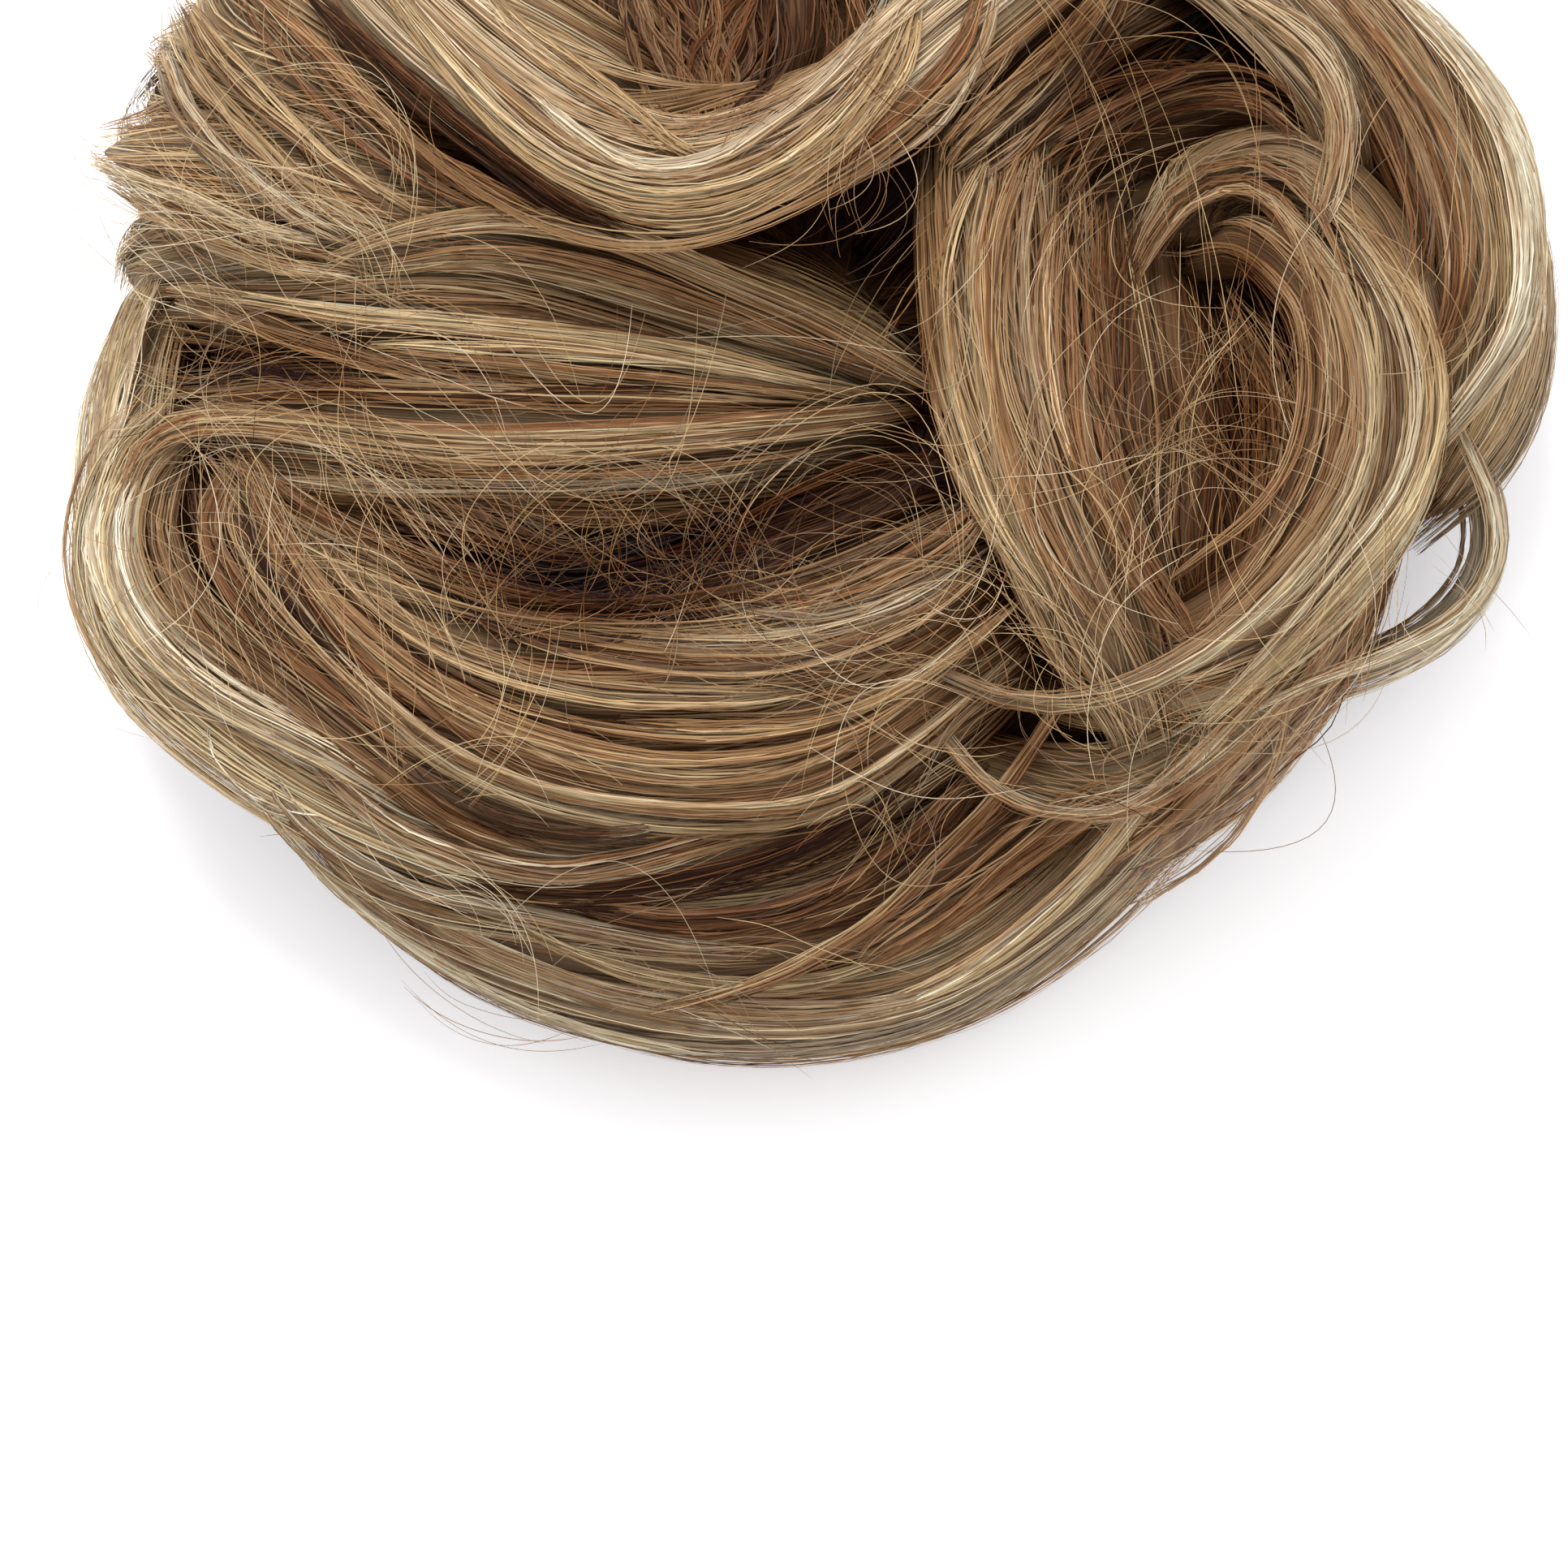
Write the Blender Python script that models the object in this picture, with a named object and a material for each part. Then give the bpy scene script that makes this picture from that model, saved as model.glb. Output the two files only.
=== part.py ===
"""A top knot hairpiece: locks of curled false hair on a wound core with an elastic loop.

The knot lies on its flat underside, and its crown is up. +X is to the right of the knot,
+Y to its back and +Z up, in metres. The origin is the middle of its underside.
Each group of locks is a solid of its own. It lies in a bed that is cut into what is below it.
"""

import math
from collections import namedtuple

import bmesh
import bpy
import numpy as np
from mathutils import Vector

# Overall sizes of the knot
HALF_WIDTH = 0.080
HALF_DEPTH = 0.075
HEIGHT = 0.072

# A usual lock, which the locks' own breadths and depths are shares of
LOCK_HALF_BREADTH = 0.0070
LOCK_HALF_DEPTH = 0.0058

# The hollow for the wearer's own bun, and the elastic loop at its mouth
HOLLOW_RADIUS = 0.026
HOLLOW_DEPTH = 0.026
BAND_HEIGHT = 0.006
BAND_THICKNESS = 0.003
BAND_LIFT = 0.001

# Hair and elastic are kept this far apart, so that each stays a piece of its own
CLEARANCE = 0.0003

# How finely the shapes are cut
LOCK_SIDES = 7
LONGEST_SECTION = 0.030
SECTION_TURN = math.radians(30)
ROUND_SEGMENTS = 24

# Where locks are looked at from when they are laid flat on the knot, as a share of its height
HEART_RISE = 0.10

# The end of a lock that narrows, as a share of its length
TAPER_LENGTH = 0.28

# Half of a lock's breadth is at most this share of the radius that the lock bends round
TIGHTEST = 0.8

# How often a lock's lay is evened out along its run
EVENING_PASSES = 3

# A lock's stations are shares of HALF_WIDTH, HALF_DEPTH and HEIGHT: across, away, rise.
# root and tip are its breadth at its two ends, as shares of its breadth.
Lock = namedtuple("Lock", "name group breadth depth root tip stations")

LOCKS = (
    Lock("crown_loop_main", "crown_loop", 1.00, 0.80, 0.6, 0.6, (
        (-0.66, 0.66, 0.58), (-0.58, 0.46, 0.80), (-0.45, 0.27, 0.90), (-0.30, 0.13, 0.94),
        (-0.15, 0.09, 0.95), (0.02, 0.17, 0.94), (0.18, 0.35, 0.89), (0.33, 0.53, 0.80),
        (0.42, 0.68, 0.58))),
    Lock("crown_cross", "crown_loop", 0.80, 0.70, 0.6, 0.5, (
        (-0.58, 0.62, 0.62), (-0.52, 0.50, 0.78), (-0.34, 0.34, 0.86), (-0.16, 0.22, 0.82),
        (-0.04, 0.14, 0.66))),
    Lock("crown_fan", "crown_loop", 2.20, 0.90, 1.0, 0.5, (
        (-0.16, 0.80, 0.50), (-0.16, 0.66, 0.68), (-0.15, 0.48, 0.78), (-0.14, 0.32, 0.80),
        (-0.12, 0.18, 0.74))),
    Lock("crown_band", "crown_band", 1.20, 0.90, 0.6, 0.7, (
        (0.06, 0.14, 0.58), (0.20, 0.30, 0.68), (0.34, 0.44, 0.71), (0.45, 0.55, 0.64),
        (0.52, 0.63, 0.52))),
    Lock("upper_left_fold", "upper_left_sweep", 2.40, 1.00, 0.5, 0.6, (
        (-0.14, 0.12, 0.58), (-0.38, 0.20, 0.69), (-0.60, 0.32, 0.72), (-0.75, 0.49, 0.63),
        (-0.77, 0.64, 0.43), (-0.69, 0.73, 0.24))),
    Lock("tuft", "upper_left_sweep", 1.30, 0.90, 0.6, 0.25, (
        (-0.20, 0.12, 0.58), (-0.40, 0.15, 0.70), (-0.63, 0.20, 0.72), (-0.82, 0.28, 0.62),
        (-0.97, 0.35, 0.48))),
    Lock("tuft_under", "upper_left_sweep", 0.90, 0.90, 0.7, 0.4, (
        (-0.55, 0.19, 0.56), (-0.74, 0.20, 0.54), (-0.88, 0.22, 0.42), (-0.93, 0.20, 0.30))),
    Lock("bar_first", "left_bars", 1.05, 0.90, 0.4, 0.5, (
        (-0.90, 0.16, 0.46), (-0.66, 0.12, 0.66), (-0.42, 0.09, 0.74), (-0.17, 0.02, 0.72),
        (0.03, -0.04, 0.66), (0.17, -0.08, 0.52))),
    Lock("bar_second", "left_bars", 0.95, 0.90, 0.5, 0.5, (
        (-0.88, 0.10, 0.46), (-0.66, 0.03, 0.62), (-0.42, -0.02, 0.69), (-0.17, -0.05, 0.67),
        (0.03, -0.07, 0.60), (0.17, -0.08, 0.48))),
    Lock("bar_third", "left_bars", 0.85, 0.90, 0.5, 0.5, (
        (-0.74, -0.01, 0.55), (-0.44, -0.06, 0.62), (-0.17, -0.09, 0.61), (0.05, -0.09, 0.54),
        (0.17, -0.08, 0.47))),
    Lock("bar_fourth", "left_bars", 0.90, 0.90, 0.7, 0.5, (
        (-0.85, -0.11, 0.56), (-0.66, -0.14, 0.65), (-0.42, -0.17, 0.68), (-0.17, -0.17, 0.65),
        (0.05, -0.13, 0.57), (0.18, -0.10, 0.47))),
    Lock("bar_fifth", "left_bars", 0.90, 0.90, 0.6, 0.5, (
        (-0.79, -0.17, 0.52), (-0.55, -0.24, 0.60), (-0.28, -0.25, 0.59), (-0.06, -0.21, 0.53),
        (0.13, -0.14, 0.46))),
    Lock("bar_low", "left_bars", 1.30, 0.90, 0.6, 0.5, (
        (-0.72, -0.26, 0.46), (-0.50, -0.35, 0.52), (-0.26, -0.35, 0.52), (-0.04, -0.29, 0.50),
        (0.12, -0.19, 0.46))),
    Lock("rim_curl", "left_curl", 1.00, 0.95, 0.6, 0.6, (
        (-0.84, -0.12, 0.54), (-0.91, -0.20, 0.54), (-0.93, -0.32, 0.50), (-0.87, -0.46, 0.47),
        (-0.70, -0.61, 0.45), (-0.49, -0.72, 0.44), (-0.24, -0.78, 0.43), (0.00, -0.77, 0.43),
        (0.20, -0.68, 0.42))),
    Lock("rim_outer", "left_curl", 1.10, 1.00, 0.5, 0.5, (
        (-0.84, 0.24, 0.36), (-0.90, 0.10, 0.36), (-0.93, -0.05, 0.36), (-0.93, -0.18, 0.35),
        (-0.90, -0.32, 0.33), (-0.80, -0.46, 0.28), (-0.67, -0.58, 0.23))),
    Lock("rim_low", "left_curl", 1.20, 1.00, 0.6, 0.6, (
        (-0.76, 0.36, 0.20), (-0.84, 0.14, 0.19), (-0.85, -0.12, 0.18), (-0.78, -0.36, 0.16),
        (-0.62, -0.54, 0.14))),
    Lock("sweep_first", "front_sweeps", 1.20, 1.00, 0.6, 0.7, (
        (-0.80, -0.20, 0.56), (-0.71, -0.35, 0.60), (-0.55, -0.49, 0.64), (-0.34, -0.57, 0.67),
        (-0.12, -0.57, 0.68), (0.09, -0.50, 0.67), (0.26, -0.34, 0.60), (0.34, -0.18, 0.48))),
    Lock("sweep_upper", "front_sweeps", 1.00, 0.90, 0.4, 0.6, (
        (-0.40, -0.41, 0.52), (-0.24, -0.45, 0.60), (-0.06, -0.44, 0.63), (0.12, -0.36, 0.61),
        (0.25, -0.22, 0.50))),
    Lock("sweep_second", "front_sweeps", 1.15, 1.00, 0.6, 0.7, (
        (-0.80, -0.34, 0.50), (-0.69, -0.48, 0.55), (-0.51, -0.62, 0.58), (-0.31, -0.69, 0.59),
        (-0.11, -0.69, 0.60), (0.08, -0.62, 0.60), (0.24, -0.48, 0.58), (0.36, -0.30, 0.46))),
    Lock("sweep_third", "front_sweeps", 0.90, 1.00, 0.6, 0.7, (
        (-0.74, -0.48, 0.44), (-0.62, -0.62, 0.47), (-0.44, -0.71, 0.49), (-0.24, -0.75, 0.50),
        (-0.04, -0.72, 0.51), (0.13, -0.62, 0.51), (0.29, -0.46, 0.46))),
    Lock("front_rim_upper", "front_rim", 1.00, 1.05, 0.6, 0.7, (
        (-0.70, -0.56, 0.33), (-0.54, -0.72, 0.34), (-0.34, -0.81, 0.35), (-0.12, -0.83, 0.36),
        (0.09, -0.78, 0.37), (0.26, -0.66, 0.39), (0.39, -0.52, 0.40))),
    Lock("front_rim_middle", "front_rim", 1.00, 1.05, 0.5, 0.7, (
        (-0.70, -0.55, 0.20), (-0.56, -0.71, 0.21), (-0.35, -0.83, 0.22), (-0.11, -0.88, 0.23),
        (0.12, -0.85, 0.24), (0.30, -0.74, 0.27), (0.44, -0.60, 0.31), (0.54, -0.46, 0.34))),
    Lock("front_rim_low", "front_rim", 0.95, 1.05, 0.6, 0.7, (
        (-0.58, -0.60, 0.10), (-0.42, -0.74, 0.10), (-0.22, -0.83, 0.10), (-0.02, -0.85, 0.10),
        (0.18, -0.81, 0.11), (0.35, -0.69, 0.13), (0.49, -0.54, 0.15), (0.58, -0.42, 0.18))),
    Lock("right_under", "front_rim", 1.00, 1.00, 0.5, 0.6, (
        (0.28, -0.70, 0.22), (0.38, -0.65, 0.30), (0.50, -0.57, 0.36), (0.62, -0.44, 0.40),
        (0.72, -0.27, 0.38), (0.77, -0.12, 0.34))),
    Lock("right_low", "front_rim", 0.90, 1.00, 0.6, 0.6, (
        (0.40, -0.62, 0.12), (0.54, -0.50, 0.13), (0.66, -0.34, 0.14), (0.74, -0.14, 0.16),
        (0.78, 0.06, 0.18))),
    Lock("upright_curl", "right_curl", 1.15, 0.95, 0.8, 0.5, (
        (0.27, 0.34, 0.58), (0.24, 0.19, 0.76), (0.24, -0.02, 0.84), (0.26, -0.20, 0.86),
        (0.32, -0.36, 0.82), (0.38, -0.48, 0.73), (0.43, -0.56, 0.60), (0.45, -0.60, 0.48))),
    Lock("ring_outer", "right_curl", 0.60, 0.80, 0.7, 0.6, (
        (0.43, 0.14, 0.54), (0.52, 0.22, 0.65), (0.65, 0.22, 0.71), (0.76, 0.10, 0.71),
        (0.80, -0.08, 0.68), (0.78, -0.25, 0.65), (0.69, -0.40, 0.62), (0.55, -0.51, 0.59),
        (0.39, -0.56, 0.57), (0.26, -0.51, 0.54))),
    Lock("ring_inner", "right_curl", 0.85, 0.80, 0.6, 0.6, (
        (0.50, 0.10, 0.58), (0.60, 0.10, 0.68), (0.69, -0.02, 0.73), (0.71, -0.18, 0.74),
        (0.68, -0.33, 0.72), (0.60, -0.44, 0.69), (0.48, -0.50, 0.65), (0.37, -0.48, 0.59))),
    Lock("ring_fill", "right_curl", 2.20, 0.90, 0.8, 0.7, (
        (0.48, 0.17, 0.48), (0.49, -0.05, 0.60), (0.50, -0.25, 0.66), (0.50, -0.40, 0.64),
        (0.48, -0.48, 0.56))),
    Lock("lower_arc", "right_curl", 0.60, 0.80, 0.6, 0.6, (
        (0.16, -0.57, 0.50), (0.26, -0.63, 0.50), (0.39, -0.65, 0.49), (0.52, -0.57, 0.49),
        (0.64, -0.43, 0.48), (0.70, -0.28, 0.50))),
    Lock("ring_back", "outer_right_curl", 1.00, 0.90, 0.6, 0.6, (
        (0.38, 0.30, 0.42), (0.48, 0.37, 0.53), (0.59, 0.39, 0.58), (0.70, 0.34, 0.58),
        (0.80, 0.23, 0.50))),
    Lock("curl_inner", "outer_right_curl", 0.75, 0.80, 0.6, 0.6, (
        (0.32, 0.64, 0.60), (0.48, 0.53, 0.78), (0.61, 0.43, 0.79), (0.70, 0.32, 0.75),
        (0.72, 0.23, 0.64), (0.69, 0.17, 0.52))),
    Lock("curl_middle", "outer_right_curl", 1.25, 0.95, 0.6, 0.6, (
        (0.36, 0.74, 0.48), (0.50, 0.64, 0.64), (0.64, 0.53, 0.70), (0.76, 0.40, 0.69),
        (0.83, 0.25, 0.64), (0.86, 0.11, 0.57), (0.84, -0.02, 0.48), (0.78, -0.10, 0.36))),
    Lock("curl_outer", "outer_right_curl", 1.00, 0.95, 0.6, 0.6, (
        (0.50, 0.74, 0.46), (0.66, 0.64, 0.53), (0.80, 0.50, 0.54), (0.90, 0.33, 0.51),
        (0.93, 0.15, 0.47), (0.91, -0.01, 0.42), (0.83, -0.14, 0.36))),
    Lock("curl_rim", "outer_right_curl", 1.00, 1.00, 0.6, 0.6, (
        (0.62, 0.70, 0.32), (0.76, 0.59, 0.32), (0.88, 0.44, 0.32), (0.95, 0.27, 0.31),
        (0.95, 0.10, 0.29), (0.90, -0.04, 0.26), (0.80, -0.14, 0.22))),
    Lock("curl_low", "outer_right_curl", 1.00, 1.00, 0.6, 0.6, (
        (0.60, 0.62, 0.17), (0.74, 0.48, 0.16), (0.84, 0.28, 0.15), (0.86, 0.08, 0.14),
        (0.80, -0.08, 0.14))),
    Lock("loose_loop", "side_loop", 0.42, 0.50, 0.8, 0.8, (
        (0.72, 0.02, 0.26), (0.83, 0.00, 0.26), (0.92, -0.08, 0.24), (0.93, -0.19, 0.20),
        (0.87, -0.28, 0.17), (0.76, -0.34, 0.15), (0.63, -0.37, 0.14), (0.52, -0.36, 0.14))),
    Lock("back_upper", "back_locks", 1.60, 0.90, 0.6, 0.6, (
        (-0.62, 0.50, 0.50), (-0.40, 0.66, 0.60), (-0.10, 0.74, 0.62), (0.20, 0.71, 0.61),
        (0.46, 0.58, 0.52))),
    Lock("back_middle", "back_locks", 1.40, 1.00, 0.6, 0.6, (
        (-0.74, 0.56, 0.36), (-0.52, 0.76, 0.41), (-0.20, 0.87, 0.42), (0.14, 0.88, 0.42),
        (0.44, 0.79, 0.41), (0.68, 0.60, 0.36))),
    Lock("back_rim", "back_locks", 1.30, 1.00, 0.6, 0.6, (
        (-0.80, 0.40, 0.21), (-0.66, 0.64, 0.21), (-0.40, 0.81, 0.21), (-0.05, 0.88, 0.21),
        (0.30, 0.84, 0.21), (0.58, 0.68, 0.20), (0.76, 0.46, 0.20))),
)

# The groups of locks from the top of the knot down. Each is bedded into those after it.
LAYERS = (
    "side_loop", "crown_loop", "right_curl", "outer_right_curl", "left_bars",
    "upper_left_sweep", "crown_band", "front_sweeps", "left_curl", "front_rim", "back_locks",
)

# The core's outline from its rim to its crown, as shares of half the width and the height
Outline = namedtuple("Outline", "reach rise")
CORE_OUTLINE = (
    Outline(0.66, 0.00), Outline(0.76, 0.06), Outline(0.82, 0.18), Outline(0.82, 0.32),
    Outline(0.72, 0.44), Outline(0.54, 0.52), Outline(0.30, 0.55),
)
CORE_CROWN_RISE = 0.56

# Plain colours and roughness
Finish = namedtuple("Finish", "colour roughness")
FINISHES = {
    "elastic_band": Finish((0.10, 0.07, 0.05), 0.85),
    "hair_core": Finish((0.16, 0.09, 0.05), 0.60),
    "crown_loop": Finish((0.66, 0.50, 0.28), 0.45),
    "right_curl": Finish((0.52, 0.36, 0.19), 0.45),
    "outer_right_curl": Finish((0.60, 0.46, 0.26), 0.45),
    "left_bars": Finish((0.50, 0.34, 0.18), 0.45),
    "upper_left_sweep": Finish((0.48, 0.34, 0.19), 0.45),
    "crown_band": Finish((0.42, 0.27, 0.14), 0.45),
    "front_sweeps": Finish((0.55, 0.40, 0.21), 0.45),
    "left_curl": Finish((0.62, 0.48, 0.27), 0.45),
    "front_rim": Finish((0.50, 0.37, 0.21), 0.45),
    "side_loop": Finish((0.60, 0.44, 0.24), 0.45),
    "back_locks": Finish((0.46, 0.32, 0.18), 0.45),
}


def clear_scene():
    for obj in list(bpy.data.objects):
        bpy.data.objects.remove(obj)


def placed(across, away, rise):
    """A place given as shares of the knot's sizes, in metres."""
    return np.array((across * HALF_WIDTH, away * HALF_DEPTH, rise * HEIGHT))


def unit_rows(rows):
    return rows / np.linalg.norm(rows, axis=1)[:, None]


def smooth_path(points):
    """Places along the smooth curve through the points, closer together where it bends."""
    padded = np.vstack((2 * points[0] - points[1], points, 2 * points[-1] - points[-2]))
    fine = []
    for before, start, end, after in zip(padded, padded[1:], padded[2:], padded[3:]):
        for t in np.linspace(0, 1, 12, endpoint=False):
            fine.append(0.5 * (2 * start + (end - before) * t
                               + (2 * before - 5 * start + 4 * end - after) * t ** 2
                               + (3 * start - before - 3 * end + after) * t ** 3))
    fine = np.array(fine + [points[-1]])
    steps = np.diff(fine, axis=0)
    heads = unit_rows(steps)
    turns = np.arccos(np.clip(np.sum(heads[1:] * heads[:-1], axis=1), -1, 1))
    shares = np.linalg.norm(steps, axis=1) / LONGEST_SECTION
    shares[1:] += turns / SECTION_TURN / 2
    shares[:-1] += turns / SECTION_TURN / 2
    run = np.concatenate(([0], np.cumsum(shares)))
    even = np.linspace(0, run[-1], max(4, math.ceil(run[-1])) + 1)
    return np.column_stack([np.interp(even, run, fine[:, axis]) for axis in range(3)])


def ease(t):
    t = min(1.0, max(0.0, t))
    return t * t * (3 - 2 * t)


def swell(t, root, tip):
    """A lock's breadth at share t of its length, as a share of its full breadth."""
    at_root = root + (1 - root) * ease(t / TAPER_LENGTH)
    at_tip = tip + (1 - tip) * ease((1 - t) / TAPER_LENGTH)
    return min(at_root, at_tip)


def across_lengths(rows, tangents):
    """The part of each row that is square to the lock's run there."""
    return rows - tangents * np.sum(rows * tangents, axis=1)[:, None]


def lock_mesh(lock, grown=0.0):
    """The closed tube of a lock. grown makes it thicker all round, for the bed that it lies in."""
    path = smooth_path(np.array([placed(*station) for station in lock.stations]))
    run = np.concatenate(([0], np.cumsum(np.linalg.norm(np.diff(path, axis=0), axis=1))))
    tangents = unit_rows(np.gradient(path, run, axis=0))
    bends = np.linalg.norm(np.gradient(tangents, run, axis=0), axis=1)
    outward = across_lengths(path - placed(0, 0, HEART_RISE), tangents)
    for _ in range(EVENING_PASSES):
        outward[1:-1] = (outward[:-2] + 2 * outward[1:-1] + outward[2:]) / 4
    outward = unit_rows(across_lengths(outward, tangents))
    sideways = np.cross(tangents, outward)
    path[0] -= tangents[0] * grown
    path[-1] += tangents[-1] * grown
    mesh = bmesh.new()
    rings = []
    for i, bend in enumerate(bends):
        share = swell(run[i] / run[-1], lock.root, lock.tip)
        widest = TIGHTEST / max(bend, TIGHTEST / HALF_WIDTH)
        half_breadth = min(lock.breadth * LOCK_HALF_BREADTH * share, widest) + grown
        half_depth = min(lock.depth * LOCK_HALF_DEPTH * math.sqrt(share), widest) + grown
        ring = []
        for turn in 2 * math.pi * (np.arange(LOCK_SIDES) + 0.5) / LOCK_SIDES:
            reach = sideways[i] * half_breadth * math.cos(turn) + outward[i] * half_depth * math.sin(turn)
            ring.append(mesh.verts.new(path[i] + reach))
        rings.append(ring)
    for ring, following in zip(rings, rings[1:]):
        for k in range(LOCK_SIDES):
            after = (k + 1) % LOCK_SIDES
            mesh.faces.new((ring[k], ring[after], following[after], following[k]))
    mesh.faces.new(rings[0][::-1])
    mesh.faces.new(rings[-1])
    return finished_mesh(lock.name, mesh)


def turned_mesh(name, profile, segments, half_width, half_depth):
    """A closed profile of (reach, height) places turned round the knot's axis."""
    mesh = bmesh.new()
    rings = []
    for i in range(segments):
        turn = 2 * math.pi * i / segments
        ring = [mesh.verts.new((reach * half_width * math.cos(turn),
                                reach * half_depth * math.sin(turn), height))
                for reach, height in profile]
        rings.append(ring)
    for ring, following in zip(rings, rings[1:] + rings[:1]):
        for k in range(len(profile)):
            after = (k + 1) % len(profile)
            mesh.faces.new((ring[k], following[k], following[after], ring[after]))
    return finished_mesh(name, mesh)


def core_mesh():
    """The wound mass of hair: a low dome with the hollow for the wearer's bun in its underside."""
    mesh = bmesh.new()
    levels = [(HOLLOW_RADIUS, HOLLOW_RADIUS, HOLLOW_DEPTH), (HOLLOW_RADIUS, HOLLOW_RADIUS, 0)]
    levels += [(level.reach * HALF_WIDTH, level.reach * HALF_DEPTH, level.rise * HEIGHT)
               for level in CORE_OUTLINE]
    rings = [[mesh.verts.new((half_width * math.cos(turn), half_depth * math.sin(turn), height))
              for turn in np.linspace(0, 2 * math.pi, ROUND_SEGMENTS, endpoint=False)]
             for half_width, half_depth, height in levels]
    crown = mesh.verts.new((0, 0, CORE_CROWN_RISE * HEIGHT))
    for ring, following in zip(rings, rings[1:]):
        for k in range(ROUND_SEGMENTS):
            after = (k + 1) % ROUND_SEGMENTS
            mesh.faces.new((ring[k], ring[after], following[after], following[k]))
    for k in range(ROUND_SEGMENTS):
        mesh.faces.new((rings[-1][k], rings[-1][(k + 1) % ROUND_SEGMENTS], crown))
    mesh.faces.new(rings[0][::-1])
    return finished_mesh("hair_core", mesh)


def floor_mesh():
    """A slab under the knot, which flattens what would reach below its underside."""
    mesh = bmesh.new()
    bmesh.ops.create_cube(mesh, size=1)
    bmesh.ops.scale(mesh, verts=mesh.verts, vec=(4 * HALF_WIDTH, 4 * HALF_DEPTH, HEIGHT))
    bmesh.ops.translate(mesh, verts=mesh.verts, vec=(0, 0, -HEIGHT / 2))
    return finished_mesh("floor_cut", mesh)


def finished_mesh(name, mesh):
    """A closed mesh of flat facets, which face out."""
    bmesh.ops.recalc_face_normals(mesh, faces=mesh.faces)
    bmesh.ops.triangulate(mesh, faces=mesh.faces)
    data = bpy.data.meshes.new(name)
    mesh.to_mesh(data)
    mesh.free()
    return data


def helper(name, data, frame):
    """A shape that only cuts or joins others."""
    obj = bpy.data.objects.new(name, data)
    obj.hide_render = True
    obj.display_type = "WIRE"
    obj.parent = frame
    bpy.context.scene.collection.objects.link(obj)
    return obj


def boolean(obj, operation, other):
    modifier = obj.modifiers.new(other.name, "BOOLEAN")
    modifier.operation = operation
    modifier.object = other
    modifier.solver = "EXACT"


def part(name, data, frame):
    """A solid of the knot, with its own material, placed by the knot's frame."""
    obj = bpy.data.objects.new(name, data)
    bpy.context.scene.collection.objects.link(obj)
    obj.parent = frame
    finish = FINISHES[name]
    material = bpy.data.materials.new(name)
    material.use_nodes = True
    shader = material.node_tree.nodes["Principled BSDF"]
    shader.inputs["Base Color"].default_value = (*finish.colour, 1)
    shader.inputs["Roughness"].default_value = finish.roughness
    shader.inputs["Metallic"].default_value = 0
    data.materials.append(material)
    return obj


def build_locks(frame, trims):
    """One solid for each group of locks. Returns the bed that each of them lies in."""
    beds = []
    for layer in LAYERS:
        locks = [lock for lock in LOCKS if lock.group == layer]
        group = part(layer, lock_mesh(locks[0]), frame)
        bed = helper(layer + "_bed", lock_mesh(locks[0], CLEARANCE), frame)
        for lock in locks[1:]:
            boolean(group, "UNION", helper(lock.name, lock_mesh(lock), frame))
            boolean(bed, "UNION", helper(lock.name + "_bed", lock_mesh(lock, CLEARANCE), frame))
        for cut in trims + beds:
            boolean(group, "DIFFERENCE", cut)
        beds.append(bed)
    return beds


def build_core(frame, beds):
    core = part("hair_core", core_mesh(), frame)
    for cut in beds:
        boolean(core, "DIFFERENCE", cut)


def build_band(frame):
    """The elastic loop, whose outer side is seated in the mouth of the hollow."""
    outer = HOLLOW_RADIUS - CLEARANCE
    inner = outer - BAND_THICKNESS
    soft = BAND_THICKNESS / 3
    low, high = BAND_LIFT, BAND_LIFT + BAND_HEIGHT
    profile = ((inner, low + soft), (inner + soft, low), (outer - soft, low), (outer, low + soft),
               (outer, high - soft), (outer - soft, high), (inner + soft, high), (inner, high - soft))
    part("elastic_band", turned_mesh("elastic_band", profile, ROUND_SEGMENTS, 1, 1), frame)


def centred_frame():
    """The empty that carries the knot, set so that the middle of its outline is the origin."""
    corners = []
    for lock in LOCKS:
        mesh = lock_mesh(lock)
        corners.extend(vertex.co.copy() for vertex in mesh.vertices)
        bpy.data.meshes.remove(mesh)
    corners = np.array(corners)
    middle = (corners.min(axis=0) + corners.max(axis=0)) / 2
    frame = bpy.data.objects.new("knot_frame", None)
    frame.location = Vector((-middle[0], -middle[1], 0))
    bpy.context.scene.collection.objects.link(frame)
    return frame


def build():
    clear_scene()
    frame = centred_frame()
    beds = build_locks(frame, [helper("floor_cut", floor_mesh(), frame)])
    build_core(frame, beds)
    build_band(frame)


build()
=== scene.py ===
"""The look of a top knot hairpiece: thousands of hairs in locks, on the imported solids' places."""

import math
from collections import namedtuple

import bmesh
import bpy
import numpy as np
from bpy.props import FloatProperty, FloatVectorProperty, PointerProperty
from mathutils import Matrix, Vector
from mathutils.bvhtree import BVHTree


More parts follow.
